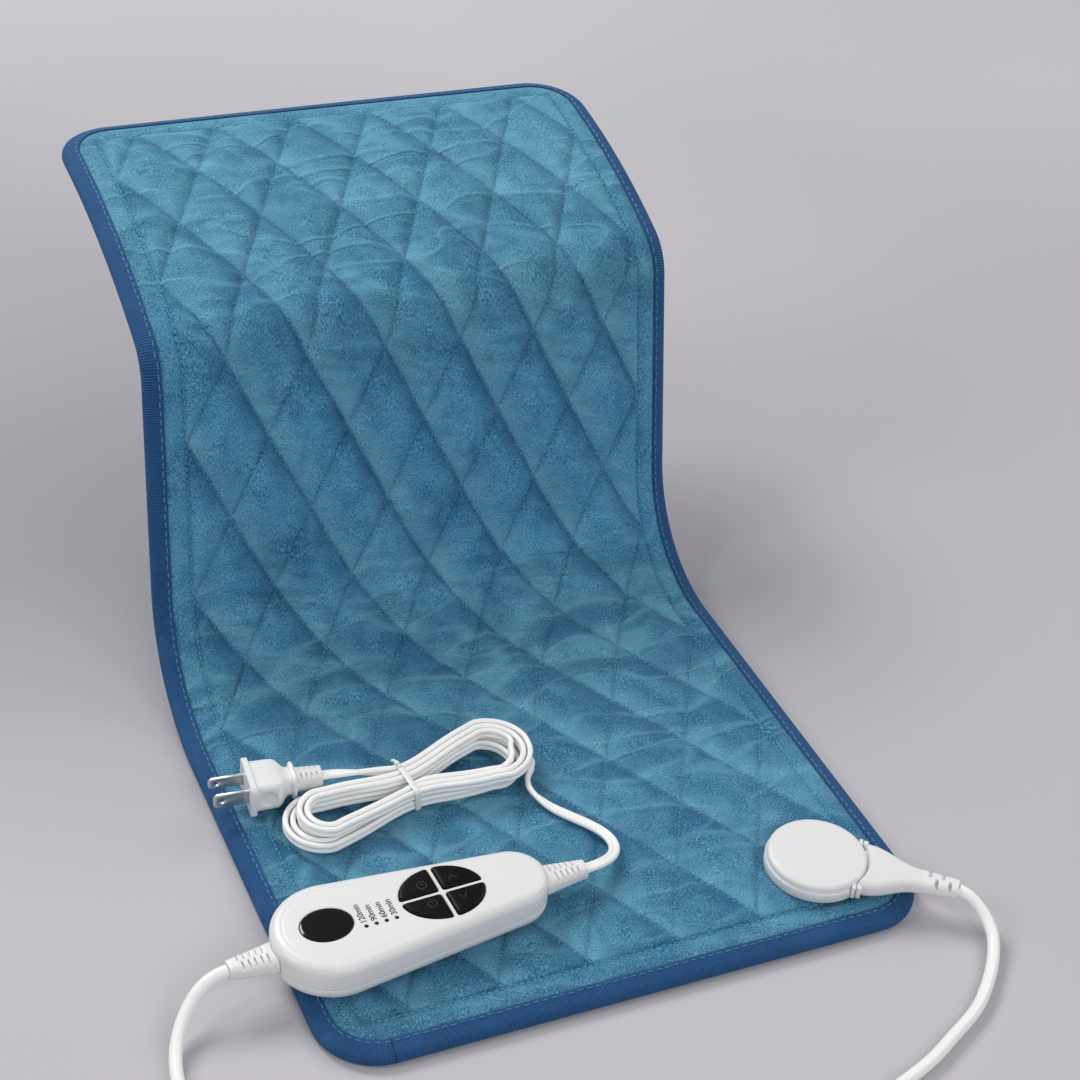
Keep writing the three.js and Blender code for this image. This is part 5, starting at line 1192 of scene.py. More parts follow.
def outline_loop(columns, rows, inset, corner_steps):
    """Counter-clockwise loop of (across, along) round the pad at an inset from its edge."""
    radius = max(CORNER_RADIUS - inset, 0)
    loop = []

    def corner(right, back, shares):
        for share in shares:
            turn = share * math.pi / 2
            side = inset + radius * (1 - math.sin(turn))
            end = inset + radius * (1 - math.cos(turn))
            loop.append((PAD_WIDTH - side if right else side, PAD_LENGTH - end if back else end))

    rising = [step / corner_steps for step in range(1, corner_steps)]
    falling = list(reversed(rising))
    loop += [(across, inset) for across in columns]
    corner(True, False, rising)
    loop += [(PAD_WIDTH - inset, along) for along in rows]
    corner(True, True, falling)
    loop += [(across, PAD_LENGTH - inset) for across in reversed(columns)]
    corner(False, True, rising)
    loop += [(inset, along) for along in reversed(rows)]
    corner(False, False, falling)
    return loop


def quilt_sheet(name, spacing, insets, height_at, hem_height):
    """A sheet of the pad: a grid inside, then loops out to the edge, and the hem over it."""
    columns = grid_lines(GRID_INSET, PAD_WIDTH - GRID_INSET, spacing)
    rows = grid_lines(GRID_INSET, PAD_LENGTH - GRID_INSET, spacing)
    vertices = []
    flat = []
    faces = []

    def add(across, along, height):
        """Adds a point and returns it as (across, along, number)."""
        flat.append((across, along))
        vertices.append(pad_point(across, along, height))
        return across, along, len(vertices) - 1

    for along in rows:
        for across in columns:
            inset = min(across, PAD_WIDTH - across, along, PAD_LENGTH - along)
            add(across, along, height_at(across, along, inset))
    wide = len(columns)
    for row in range(len(rows) - 1):
        for column in range(wide - 1):
            start = row * wide + column
            faces.append((start, start + 1, start + wide + 1, start + wide))
    boundary = [(across, rows[0], column) for column, across in enumerate(columns)]
    boundary += [(columns[-1], along, (row + 1) * wide + wide - 1) for row, along in enumerate(rows[1:])]
    boundary += [
        (columns[column], rows[-1], (len(rows) - 1) * wide + column) for column in range(wide - 2, -1, -1)
    ]
    boundary += [(columns[0], rows[row], row * wide) for row in range(len(rows) - 2, 0, -1)]
    loops = []
    for inset in insets:
        outline = outline_loop(columns, rows, inset, CORNER_STEPS)
        loops.append([add(across, along, height_at(across, along, inset)) for across, along in outline])
    outline = outline_loop(columns, rows, SHEET_INSET, CORNER_STEPS)
    loops.append([add(across, along, hem_height) for across, along in outline])
    bridge(faces, boundary, loops[0])
    for inner, outer in zip(loops, loops[1:]):
        for number in range(len(inner)):
            beside = (number + 1) % len(inner)
            faces.append((inner[number][2], outer[number][2], outer[beside][2], inner[beside][2]))
    piece = make_object(name, vertices, faces, plush_material(), "pad", 180, recalculate=False)
    store(piece, "across_mm", [spot[0] for spot in flat])
    store(piece, "along_mm", [spot[1] for spot in flat])
    return piece


def store(piece, name, values):
    """Stores a value for each point of a piece."""
    piece.data.attributes.new(name, "FLOAT", "POINT").data.foreach_set("value", values)


def bridge(faces, inner, outer):
    """Fills between two loops by always taking the shorter diagonal."""
    first = 0
    second = 0

    def gap(one, other):
        return math.hypot(one[0] - other[0], one[1] - other[1])

    while first < len(inner) or second < len(outer):
        here_in = inner[first % len(inner)]
        here_out = outer[second % len(outer)]
        next_in = inner[(first + 1) % len(inner)]
        next_out = outer[(second + 1) % len(outer)]
        step_out = first >= len(inner)
        if not step_out and second < len(outer):
            step_out = gap(here_in, next_out) <= gap(next_in, here_out)
        if step_out:
            faces.append((here_in[2], here_out[2], next_out[2]))
            second += 1
        else:
            faces.append((here_in[2], here_out[2], next_in[2]))
            first += 1


def build_quilted_top(settings):
    """Plush face with puffed diamonds, drawn-in rows of stitches and a rolled border."""
    spacing = settings.top_spacing / MM
    piece = quilt_sheet("quilted_top_plush", spacing, TOP_INSETS, top_height, TOP_HEM_HEIGHT)
    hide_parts("quilted_top")


def build_back_cover(settings):
    """Plush back with the quilting showing faintly."""
    spacing = settings.back_spacing / MM
    piece = quilt_sheet("back_cover_plush", spacing, BACK_INSETS, back_height, BACK_HEM_HEIGHT)
    piece.data.flip_normals()
    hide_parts("back_cover")


def outline_path(spacing):
    """Evenly spaced (across, along) points round the pad's edge."""
    columns = [CORNER_RADIUS, PAD_WIDTH - CORNER_RADIUS]
    rows = [CORNER_RADIUS, PAD_LENGTH - CORNER_RADIUS]
    points = [Vector((across, along, 0)) for across, along in outline_loop(columns, rows, 0, 12)]
    points.append(points[0].copy())
    return [(point.x, point.y) for point in resampled(points, spacing)[:-1]]


def running_length(spots):
    """How far along a row of flat points each one lies."""
    run = [0]
    for first, second in zip(spots, spots[1:]):
        run.append(run[-1] + math.hypot(second[0] - first[0], second[1] - first[1]))
    return run


def build_edge_binding(settings):
    """Ribbed tape folded over the pad's rim, puckered a little at its stitches."""
    base = outline_path(settings.binding_spacing / MM)
    paths = [matched_outline(base, inset) for inset, _ in TAPE_SECTION]
    run = running_length(base)
    rings = []
    for number, travelled in enumerate(run):
        ring = []
        wave = cloth_noise(travelled * 0.035, 4.2, 0)
        ripple = math.sin(travelled * 2 * math.pi / 4.2)
        for place, (inset, height) in enumerate(TAPE_SECTION):
            lift = 0
            if height > 6.8:
                lift = 0.2 * wave * (inset / 9) + 0.1 * ripple * bell(inset, 7.6, 1.2)
            ring.append(pad_point(*paths[place][number], height + lift))
        rings.append(ring)
    vertices, faces = loft(rings, closed=True)
    piece = make_object("edge_binding_tape", vertices, faces, tape_material(), "pad", 60)
    widths = running_length(TAPE_SECTION)
    store(piece, "along_mm", [travelled for travelled in run for _ in widths])
    store(piece, "across_mm", widths * len(run))
    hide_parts("edge_binding")


def matched_outline(base, inset):
    """Moves the outline's points inwards along their normals, with the corners kept round."""
    moved = []
    for across, along in base:
        near_x = min(max(across, CORNER_RADIUS), PAD_WIDTH - CORNER_RADIUS)
        near_y = min(max(along, CORNER_RADIUS), PAD_LENGTH - CORNER_RADIUS)
        heading = Vector((across - near_x, along - near_y))
        if heading.length < 1e-6:
            moved.append((across, along))
            continue
        heading.normalize()
        moved.append((across - heading.x * inset, along - heading.y * inset))
    return moved


def dash(vertices, faces, start, end, normal, width, height):
    """Adds one stitch: a low pointed loaf between two points."""
    heading = end - start
    sideways = heading.cross(normal).normalized() * width / 2
    up = normal * height
    first = len(vertices)
    near = start.lerp(end, 0.2)
    far = start.lerp(end, 0.8)
    vertices.append(start)
    for middle in (near, far):
        vertices.extend((middle + sideways, middle + up, middle - sideways))
    vertices.append(end)
    faces.extend((
        (first, first + 1, first + 2), (first, first + 2, first + 3),
        (first + 1, first + 4, first + 5, first + 2), (first + 2, first + 5, first + 6, first + 3),
        (first + 4, first + 7, first + 5), (first + 5, first + 7, first + 6),
        (first, first + 3, first + 6, first + 7), (first, first + 7, first + 4, first + 1),
    ))


def surface_place(across, along, height_at, lift):
    """A place on the pad's face, with the outward normal there."""
    inset = min(across, PAD_WIDTH - across, along, PAD_LENGTH - along)
    height = height_at(across, along, inset)
    point = pad_point(across, along, height + lift)
    above = pad_point(across, along, height + lift + 1)
    return point, (above - point).normalized()


def sew(name, routes, settings, height_at, lift, pitch, material):
    """Makes rows of stitches along lists of (across, along) points."""
    vertices = []
    faces = []
    for route in routes:
        even = resampled([Vector((across, along, 0)) for across, along in route], pitch)
        for number, (first, second) in enumerate(zip(even, even[1:])):
            sway = 0.18 * math.sin(number * 2.4)
            side = Vector((second.y - first.y, first.x - second.x, 0)).normalized() * sway
            start_flat = first.lerp(second, 0.12) + side
            end_flat = first.lerp(second, 0.12 + settings.stitch_share) + side
            start, normal = surface_place(start_flat.x, start_flat.y, height_at, lift)
            end, _ = surface_place(end_flat.x, end_flat.y, height_at, lift)
            dash(vertices, faces, start, end, normal, THREAD_WIDTH * MM, THREAD_WIDTH * 0.55 * MM)
    piece = make_object(name, vertices, faces, material, "pad", 60)


def diagonal_routes():
    """The diagonal rows of quilting, clipped to the border stitch."""
    low = BORDER_INSET + 0.5
    high_x = PAD_WIDTH - low
    high_y = PAD_LENGTH - low
    routes = []
    for falls in (False, True):
        for number in range(-31, 61, 2):
            points = []
            for across in (low, high_x):
                column = (across - BORDER_INSET) / COLUMN_PITCH
                row = number - column if falls else column + number - 14
                points.append((across, QUILT_FRONT + row * ROW_PITCH))
            clipped = clip_line(points, low, high_x, low, high_y)
            if clipped:
                routes.append(clipped)
    return routes


def clip_line(points, low_x, high_x, low_y, high_y):
    """Cuts a line that spans the width to the part between low_y and high_y, or returns None."""
    (x1, y1), (x2, y2) = points
    slope = (y2 - y1) / (x2 - x1)
    ends = []
    for x, y in points:
        held = min(max(y, low_y), high_y)
        ends.append((x + (held - y) / slope, held))
    inside = all(low_x - 0.01 <= x <= high_x + 0.01 for x, _ in ends)
    length = math.hypot(ends[1][0] - ends[0][0], ends[1][1] - ends[0][1])
    return ends if inside and length > SHORTEST_ROW else None


def build_stitches(settings):
    """Quilting thread, the border's bright thread and the thread of the binding."""
    pitch = settings.stitch_pitch / MM
    quilting = thread_material("thread_teal", (112, 188, 212))
    sew("quilting_stitches", diagonal_routes(), settings, top_height, 0.24, pitch, quilting)
    outline = outline_path(2)
    border = matched_outline(outline, BORDER_INSET)
    bright = thread_material("thread_cyan", (96, 196, 226))
    sew("border_stitches", [border + border[:1]], settings, top_height, 0.14, pitch, bright)
    edge = matched_outline(outline, 7.4)
    blue = thread_material("thread_blue", (108, 154, 188))
    sew("binding_stitches", [edge + edge[:1]], settings, lambda *_: 8.25, 0.12, 4.4, blue)


# Socket and connector


def ears(reach, inner, outer):
    """The blocks on either side of the connector, between two reaches along it."""
    blocks = []
    for side in (-1, 1):
        edges = sorted((side * inner, side * outer))
        blocks.append(box_rings((reach[0], edges[0], EAR_LOW), (reach[1], edges[1], EAR_HIGH)))
    return blocks


def build_socket(settings):
    """Round cover with a stepped rim, a flat top and the ears beside the connector."""
    rings = [circle_ring(0, 0, radius, REST_HEIGHT + z, settings.disc_sides) for radius, z in SOCKET_PROFILE]
    shell = moulded_material("white_moulding")
    piece = loft_object("socket_cover_moulding", rings, socket_place, shell, "pad", 25)
    combine(piece, socket_place, ears((GRIP_START - 2.2, GRIP_START - 0.4), 13, 17.6), "UNION")
    mouth = box_rings((7, -11, MOUTH_MIDDLE - 2.6), (30, 11, MOUTH_MIDDLE + 2.6))
    carve(piece, socket_place, [mouth])
    soften(piece, 0.35, 48)
    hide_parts("socket_cover")


def build_connector(settings):
    """Grip that wraps the socket's rim, with ears and a tongue for the mouth."""
    rings = []
    for step in range(25):
        share = step / 24
        past = max(share - 0.12, 0) / 0.88
        narrowing = (1 - math.cos(math.pi * past)) / 2
        width = GRIP_ROOT_WIDTH + (GRIP_TIP_WIDTH - GRIP_ROOT_WIDTH) * narrowing
        tall = SOCKET_HEIGHT + (GRIP_TIP_HEIGHT - SOCKET_HEIGHT) * narrowing
        x = GRIP_START - 0.4 + share * (GRIP_END - GRIP_START + 0.4)
        rings.append(rounded_section(x, width, tall, tall * ROUNDNESS, 9, MOUTH_MIDDLE))
    shell = moulded_material("white_moulding")
    piece = loft_object("connector_moulding", rings, socket_place, shell, "lead_set", 30)
    combine(piece, socket_place, ears((GRIP_START, GRIP_START + 2.2), 12, 17), "UNION")
    rim = [circle_ring(0, 0, SOCKET_RADIUS + 0.45, z, settings.disc_sides) for z in (5, 30)]
    carve(piece, socket_place, [rim])
    tongue = box_rings((9.5, -10.65, MOUTH_MIDDLE - 2.3), (30, 10.65, MOUTH_MIDDLE + 2.3))
    combine(piece, socket_place, [tongue], "UNION")
    bores = [
        [rod_ring(x, side * 6.5, MOUTH_MIDDLE, 1.75, 16) for x in (8, 27.5)] for side in (-1, 0, 1)
    ]
    carve(piece, socket_place, bores)
    soften(piece, 0.4, 48)
    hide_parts("connector_body")


# Boots


def boot_cutters(first, length, root, tip, pitch, count, depth, slot):
    """Thin slots across a tapered boot, staggered on either side of its middle, above and below."""
    cutters = []
    for number in range(2 * count):
        x = first + number * pitch / 2
        share = x / length
        half_width = (root[0] + (tip[0] - root[0]) * share) / 2
        half_height = (root[1] + (tip[1] - root[1]) * share) / 2
        low_y = 0.35 if number % 2 == 0 else -half_width - 2
        high_y = half_width + 2 if number % 2 == 0 else -0.35
        over = (half_height - depth, half_height + 2)
        under = (-half_height - 2, depth - half_height)
        for low_z, high_z in (over, under):
            cutters.append(box_rings((x - slot / 2, low_y, low_z), (x + slot / 2, high_y, high_z)))
    return cutters


def shifted_place(place, x, z, turn=1):
    """A group's place moved along its X and up, and turned about by a turn of -1."""
    return lambda point: place((x + turn * point[0], turn * point[1], z + point[2]))


def build_boot(name, node, place, length, root, tip, start, slots):
    """Tapered and slotted boot."""
    rings = []
    for step in range(13):
        x = start + (length - start) * (step / 12)
        taper = max(x, 0) / length
        width = root[0] + (tip[0] - root[0]) * taper
        height = root[1] + (tip[1] - root[1]) * taper
        rings.append(rounded_section(x, width, height, height * ROUNDNESS, 9))
    rings.append([(length, y * 0.93, z * 0.93) for _, y, z in rings[-1]])
    soft = moulded_material("white_soft_moulding")
    piece = loft_object(name, rings, place, soft, "lead_set", 35)
    carve(piece, place, boot_cutters(slots[0], length, root, tip, *slots[1:]))
    soften(piece, 0.18, 50)
    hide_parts(node)
    return piece


def build_boots():
    """The controller's two boots and the connector's."""
    left = shifted_place(controller_place, WIDE_X - WIDE_RADIUS, BOOT_AXIS, -1)
    right = shifted_place(controller_place, SLIM_X + SLIM_RADIUS, BOOT_AXIS)
    grip = shifted_place(socket_place, GRIP_END + BOOT_GAP, MOUTH_MIDDLE)
    for name, node, place in (
        ("lead_boot", "lead_strain_relief", left), ("mains_boot", "mains_strain_relief", right),
    ):
        boot = build_boot(name, node, place, BOOT_LENGTH, BOOT_ROOT, BOOT_TIP, -3.6, (3.2, 2.9, 5, 1.9, 0.9))
        carve(boot, controller_place, [housing_rings(-0.25)])
        smooth(boot, SOFTENED_ANGLE)
    build_boot(
        "connector_boot", "connector_strain_relief", grip, GRIP_BOOT_LENGTH, GRIP_BOOT_ROOT, GRIP_BOOT_TIP,
        -0.8, (4.2, 6.4, 2, 2.8, 1.8),
    )


# Controller


def controller_ring(inset, height):
    """Outline of two unlike circles with the lines that touch both, moved in by an inset."""
    turn_at = math.acos((WIDE_RADIUS - SLIM_RADIUS) / (SLIM_X - WIDE_X))
    wide = arc_points(WIDE_X, 0, WIDE_RADIUS - inset, turn_at, 2 * math.pi - turn_at, 64)
    slim = arc_points(SLIM_X, 0, SLIM_RADIUS - inset, -turn_at, turn_at, 40)
    return [(x, y, height) for x, y in wide + slim]


def rounded_edge(inset, height, reach, drop, steps, upper=True):
    """Insets and heights of a quarter round at the top or the foot of the housing."""
    spots = []
    for step in range(steps + 1):
        turn = math.pi / 2 * step / steps
        if upper:
            spots.append((inset + reach * (1 - math.cos(turn)), height - drop + drop * math.sin(turn)))
        else:
            spots.append((inset + reach * (1 - math.sin(turn)), height + drop * (1 - math.cos(turn))))
    return spots


def housing_rings(inset):
    """Rings of the whole housing, grown by a negative inset."""
    spots = rounded_edge(inset, 0, 5.2, 5.5, 7, upper=False)
    spots += rounded_edge(inset, CONTROLLER_HEIGHT, 5, 4.4, 9)
    return [controller_ring(in_by, z) for in_by, z in spots]


def build_bottom_shell():
    """Lower half of the housing with its rounded foot and the parting line above."""
    spots = rounded_edge(0, 0, 5.2, 5.5, 9, upper=False)
    spots += [(0, 7.25), (0.08, 7.42), (0.25, 7.48), (1.6, 7.48)]
    rings = [controller_ring(in_by, z) for in_by, z in spots]
    shell = moulded_material("white_moulding")
    piece = loft_object("controller_bottom_moulding", rings, controller_place, shell, "lead_set", 25)
    cutters = []
    for x, y in ((-54.5, 14.5), (-54.5, -14.5), (50, 9), (50, -9)):
        cutters.append([circle_ring(x, y, 2.75, z, 24) for z in (-1, 2.7)])
    carve(piece, controller_place, cutters)
    soften(piece, 0.15, 55)
    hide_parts("controller_bottom_shell")


def chamfered_hole(outline_at, depth, chamfer=0.35):
    """Rings of a cutter whose mouth is a little wider than its shaft."""
    top = CONTROLLER_HEIGHT
    return [
        outline_at(0, top - depth),
        outline_at(0, top - chamfer),
        outline_at(chamfer, top + 0.02),
        outline_at(chamfer, top + 2),
    ]


def build_top_shell():
    """Upper half of the housing with its plateau line and the openings of its face."""
    spots = [(1.6, 7.72), (0.25, 7.72), (0.08, 7.78), (0, 7.95)]
    spots += rounded_edge(0, CONTROLLER_HEIGHT - 0.12, 4.8, 4.4, 9)
    spots += [(5.35, 19.89), (5.6, 19.82), (5.85, 19.93), (6.3, 20)]
    rings = [controller_ring(in_by, z) for in_by, z in spots]
    shell = moulded_material("white_moulding")
    piece = loft_object("controller_top_moulding", rings, controller_place, shell, "lead_set", 25)
    cutters = [chamfered_hole(lambda grow, z: oval_ring(*DISPLAY, 12.6 + grow, 10.2 + grow, z), 3)]
    for _, *sides in KEYS:
        cutters.append(chamfered_hole(lambda grow, z, sides=sides: key_ring(*sides, 0.32 + grow, z), 3, 0.25))
    for number in range(len(LAMP_LABELS)):
        cutters.append([circle_ring(LAMP_X + number * LAMP_PITCH, LAMP_Y, 1.1, z, 24) for z in (18, 22)])
    carve(piece, controller_place, cutters)
    smooth(piece, 25)
    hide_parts("controller_top_shell")


def key_ring(side_x, side_y, grow, z):
    """Quarter of the keys' oval with rounded corners, counter-clockwise."""
    gap = 1.2 - grow
    half_length = 20.3 + grow
    half_width = 15.9 + grow
    corner = 1.6
    first = math.asin((gap + corner * 0.9) / half_width)
    last = math.acos((gap + corner * 0.9) / half_length)
    points = []

    def round_corner(start, control, end):
        """Adds a curve from start to end that leans towards a control point."""
        for step in range(7):
            t = step / 6
            points.append(tuple(
                (1 - t) ** 2 * first_value + 2 * t * (1 - t) * pull + t * t * last_value
                for first_value, pull, last_value in zip(start, control, end)
            ))

    def rim(turn):
        """A point on the oval."""
        return half_length * math.cos(turn), half_width * math.sin(turn)

    tip_x = half_length * math.cos(math.asin(gap / half_width))
    tip_y = half_width * math.sin(math.acos(gap / half_length))
    round_corner((tip_x - corner, gap), (tip_x, gap), rim(first))
    points += [rim(first + (last - first) * step / 20) for step in range(1, 20)]
    round_corner(rim(last), (gap, tip_y), (gap, tip_y - corner))
    for step in range(1, 10):
        share = step / 10
        points.append((gap, (tip_y - corner) * (1 - share) + (gap + corner) * share))
    round_corner((gap, gap + corner), (gap, gap), (gap + corner, gap))
    for step in range(1, 12):
        share = step / 12
        points.append(((gap + corner) * (1 - share) + (tip_x - corner) * share, gap))
    ring = [(KEYS_MIDDLE[0] + side_x * x, KEYS_MIDDLE[1] + side_y * y, z) for x, y in points]
    if side_x * side_y < 0:
        ring.reverse()
    return ring


def build_keys():
    """Four satin keys with rounded rims and softly raised signs."""
    top = CONTROLLER_HEIGHT
    levels = (
        (0.0, 16.6), (0.0, top + 0.25), (-0.1, top + 0.6), (-0.32, top + 0.88), (-0.7, top + 1.04),
        (-1.4, top + 1.12), (-2.6, top + 1.2),
    )
    for name, side_x, side_y in KEYS:
        rings = [key_ring(side_x, side_y, grow, z) for grow, z in levels]
        body = name.replace("button", "key")
        piece = loft_object(name + "_cap", rings, controller_place, moulded_material("satin_key"), body, 30)
        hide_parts(name)
        sign = build_sign(name, side_x, side_y, top + 1.2, body)


def ribbon(vertices, faces, points, width, low, high, closed=False):
    """Adds a flat raised line through level points."""
    count = len(points)
    first = len(vertices)
    for number, (x, y) in enumerate(points):
        before = points[(number - 1) % count] if closed or number > 0 else points[number]
        after = points[(number + 1) % count] if closed or number < count - 1 else points[number]
        heading = Vector((after[0] - before[0], after[1] - before[1])).normalized()
        side = Vector((-heading.y, heading.x)) * width / 2
        for z, share in ((low, 1.0), (high, 0.7)):
            vertices.append((x + side.x * share, y + side.y * share, z))
            vertices.append((x - side.x * share, y - side.y * share, z))
    steps = count if closed else count - 1
    for number in range(steps):
        a = first + number * 4
        b = first + (number + 1) % count * 4
        faces.extend((
            (a + 2, b + 2, b + 3, a + 3), (a, b, b + 2, a + 2),
            (a + 1, a + 3, b + 3, b + 1), (a, a + 1, b + 1, b),
        ))
    if not closed:
        last = first + (count - 1) * 4
        faces.append((first, first + 2, first + 3, first + 1))
        faces.append((last, last + 1, last + 3, last + 2))


def build_sign(name, side_x, side_y, top, body):
    """Raised sign of a key: power ring, clock, up arrow or down arrow."""
    x = KEYS_MIDDLE[0] + side_x * 7.6
    y = KEYS_MIDDLE[1] + side_y * 6.2
    vertices = []
    faces = []

    def line(points, width, closed=False):
        """Adds a raised line of the sign."""
        ribbon(vertices, faces, points, width, top - 0.15, top + 0.1, closed)

    if name == "button_power":
        line(arc_points(x, y, 2.1, 0.62 * math.pi, 2.38 * math.pi, 28), 0.55)
        line([(x, y + 0.2), (x, y + 2.7)], 0.55)
    elif name == "button_timer":
        line(arc_points(x, y, 2.2, 0, 2 * math.pi, 32)[:-1], 0.5, closed=True)
        line([(x, y + 1.5), (x, y), (x + 1.1, y)], 0.45)
    else:
        point = 1 if name == "button_heat_up" else -1
        line([(x - 2.1, y - 1.1 * point), (x, y + 1.3 * point), (x + 2.1, y - 1.1 * point)], 0.65)
    material = moulded_material("satin_key_sign")
    return make_object(name + "_sign", [controller_place(v) for v in vertices], faces, material, body, 40)


def build_display():
    """Smoked oval window, slightly domed, with a fine rim."""
    top = CONTROLLER_HEIGHT
    levels = (
        (12.25, 9.85, 16.4), (12.25, 9.85, top - 0.25), (12.15, 9.75, top - 0.05), (11.8, 9.4, top + 0.08),
        (11, 8.7, top + 0.16), (8.5, 6.8, top + 0.3), (5, 4, top + 0.42), (1.5, 1.2, top + 0.47),
    )
    rings = [oval_ring(*DISPLAY, length, width, z) for length, width, z in levels]
    smoked = moulded_material("black_window")
    piece = loft_object("display_window", rings, controller_place, smoked, "lead_set", 40)
    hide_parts("display_lens")


def build_lamps():
    """Four small dark lamp windows with their minutes printed beside them."""
    top = CONTROLLER_HEIGHT
    for number, label in enumerate(LAMP_LABELS):
        x = LAMP_X + number * LAMP_PITCH
        rings = [
            circle_ring(x, LAMP_Y, radius, z, 24)
            for radius, z in ((0.95, 18.2), (0.95, top - 0.1), (0.8, top + 0.02), (0.4, top + 0.09))
        ]
        name = f"timer_lamp_{number + 1}"
        lamp = loft_object(name, rings, controller_place, moulded_material("black_window"), "lead_set", 40)
        build_label(f"timer_label_{number + 1}", label, x, LAMP_Y + 1.9, top + 0.02)


def build_label(name, label, x, y, z):
    """Printed text that reads away from its lamp, as thin geometry."""
    curve = bpy.data.curves.new(name, "FONT")
    curve.body = label
    curve.size = 4.1 * MM
    curve.extrude = 0.015 * MM
    curve.offset = 0.07 * MM
    curve.align_x = "LEFT"
    curve.align_y = "CENTER"
    text = bpy.data.objects.new(name, curve)
    bpy.context.scene.collection.objects.link(text)
    turn = Matrix.Rotation(math.pi / 2 + CONTROLLER_TURN, 4, "Z")
    text.matrix_world = Matrix.Translation(controller_place((x, y, z))) @ turn
    bpy.context.view_layer.update()
    graph = bpy.context.evaluated_depsgraph_get()
    mesh = bpy.data.meshes.new_from_object(text.evaluated_get(graph))
    mesh.transform(text.matrix_world)
    bpy.data.objects.remove(text)
    piece = bpy.data.objects.new(name, mesh)
    bpy.context.scene.collection.objects.link(piece)
    mesh.materials.clear()
    mesh.materials.append(moulded_material("print_grey"))
    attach(piece, "lead_set")


# Tie and plug


def build_tie():
    """Thin band round the hank's waist with its twisted end."""
    half = HANK_TIE_HALF_WIDTH + CORD_THICKNESS / 2 + 0.75
    low = REST_HEIGHT + 0.35
    high = HANK_BOTTOM + HANK_RISE + CORD_WIDTH / 2 + 0.35
    middle = (low + high) / 2
    ring = [Vector(spot) for spot in rounded_section(0, 2 * half, high - low, 2.2, 8, middle)]
    ring.append(ring[0].copy())
    path = resampled(ring, 0.8)[:-1]
    rings = []
    for number, point in enumerate(path):
        heading = (path[(number + 1) % len(path)] - path[number - 1]).normalized()
        outward = Vector((1, 0, 0)).cross(heading).normalized()
        if outward.dot(point - Vector((0, 0, middle))) < 0:
            outward.negate()
        sway = 0.5 * math.sin(number * 0.16)
        rings.append([
            tuple(point + Vector((sway + 1.55 * cosine, 0, 0)) + outward * 0.42 * sine)
            for cosine, sine in unit_circle(12)
        ])
    vertices, faces = loft(rings, closed=True)
    twist_vertices, twist_faces = loft(twist_rings(half, high))
    base = len(vertices)
    vertices += twist_vertices
    faces += [tuple(index + base for index in face) for face in twist_faces]
    spots = [hank_place(vertex) for vertex in vertices]
    soft = moulded_material("white_soft_moulding")
    piece = make_object("cord_tie_band", spots, faces, soft, "lead_set", 50)
    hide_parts("cord_tie")
    return piece


def twist_rings(half, high):
    """The twisted end of the tie at the hank's far upper corner."""
    rings = []
    for step in range(15):
        share = step / 14
        rise = 0.5 + 0.9 * math.sin(math.pi * share)
        centre = Vector((0.4 - 1.2 * share, half - 4.2 + 6.2 * share, high + rise))
        turn_by = 2.4 * math.pi * share
        wide = 1.5 * (1 - 0.35 * share)
        section = []
        for cosine, sine in unit_circle(10):
            across = wide * cosine
            up = 0.75 * sine
            section.append((
                centre.x + across * math.cos(turn_by) - up * math.sin(turn_by),
                centre.y,
                centre.z + across * math.sin(turn_by) * 0.6 + up * math.cos(turn_by),
            ))
        rings.append(section)
    return rings


def build_plug():
    """Moulded plug with flange, waisted body, collar and ribbed tail, and its two blades."""
    rings = [rounded_section(x, width, height, radius, 8) for x, width, height, radius in PLUG_PROFILE]
    shell = moulded_material("white_moulding")
    piece = loft_object("plug_moulding", rings, plug_place, shell, "lead_set", 28)
    cutters = []
    for number in range(4):
        x = -26.6 - 2.6 * number
        for side in (-1, 1):
            low_y, high_y = sorted((side * 1.1, side * 8))
            for low_z, high_z in ((3.6, 8), (-8, -3.6)):
                cutters.append(box_rings((x - 0.5, low_y, low_z), (x + 0.5, high_y, high_z)))
    for side in (-1, 1):
        recess = []
        for step in range(9):
            turn = math.pi * step / 8
            radius = max(math.sin(turn), 0.02)
            x = -9 - 4.6 * math.cos(turn)
            recess.append([
                (x, side * 10.9 + 1.5 * radius * cosine, 4.6 * radius * sine)
                for cosine, sine in unit_circle(24)
            ])
        cutters.append(recess)
        middle = side * BLADE_OFFSET
        edge = BLADE_WIDTHS[side] / 2 + 0.1
        cutters.append(box_rings((-2.5, middle - 0.85, -edge), (2, middle + 0.85, edge)))
    carve(piece, plug_place, cutters)
    soften(piece, 0.25, 48)
    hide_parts("plug_body")
    return [piece] + [build_blade(side) for side in (-1, 1)]


def build_blade(side):
    """Flat blade with a bevelled tip and a hole."""
    edge = BLADE_WIDTHS[side] / 2
    y = side * BLADE_OFFSET
    outline = (
        (-2.3, -edge), (15.2, -edge), (16.2, -edge + 0.6), (17, -edge + 1.7),
        (17, edge - 1.7), (16.2, edge - 0.6), (15.2, edge), (-2.3, edge),
    )
    rings = [[(x, y + offset, z) for x, z in outline] for offset in (-0.75, 0.75)]
    name = "blade_line" if side < 0 else "blade_neutral"
    piece = loft_object(name, rings, plug_place, nickel_material(), "lead_set", 30)
    hole = [
        [(13 + 1.6 * cosine, y + offset, 1.6 * sine) for cosine, sine in unit_circle(28)]
        for offset in (-2, 2)
    ]
    carve(piece, plug_place, [hole])
    soften(piece, 0.16, 40)
    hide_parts("plug_blade_line" if side < 0 else "plug_blade_neutral")
    return piece


# Carried-over parts and the stage


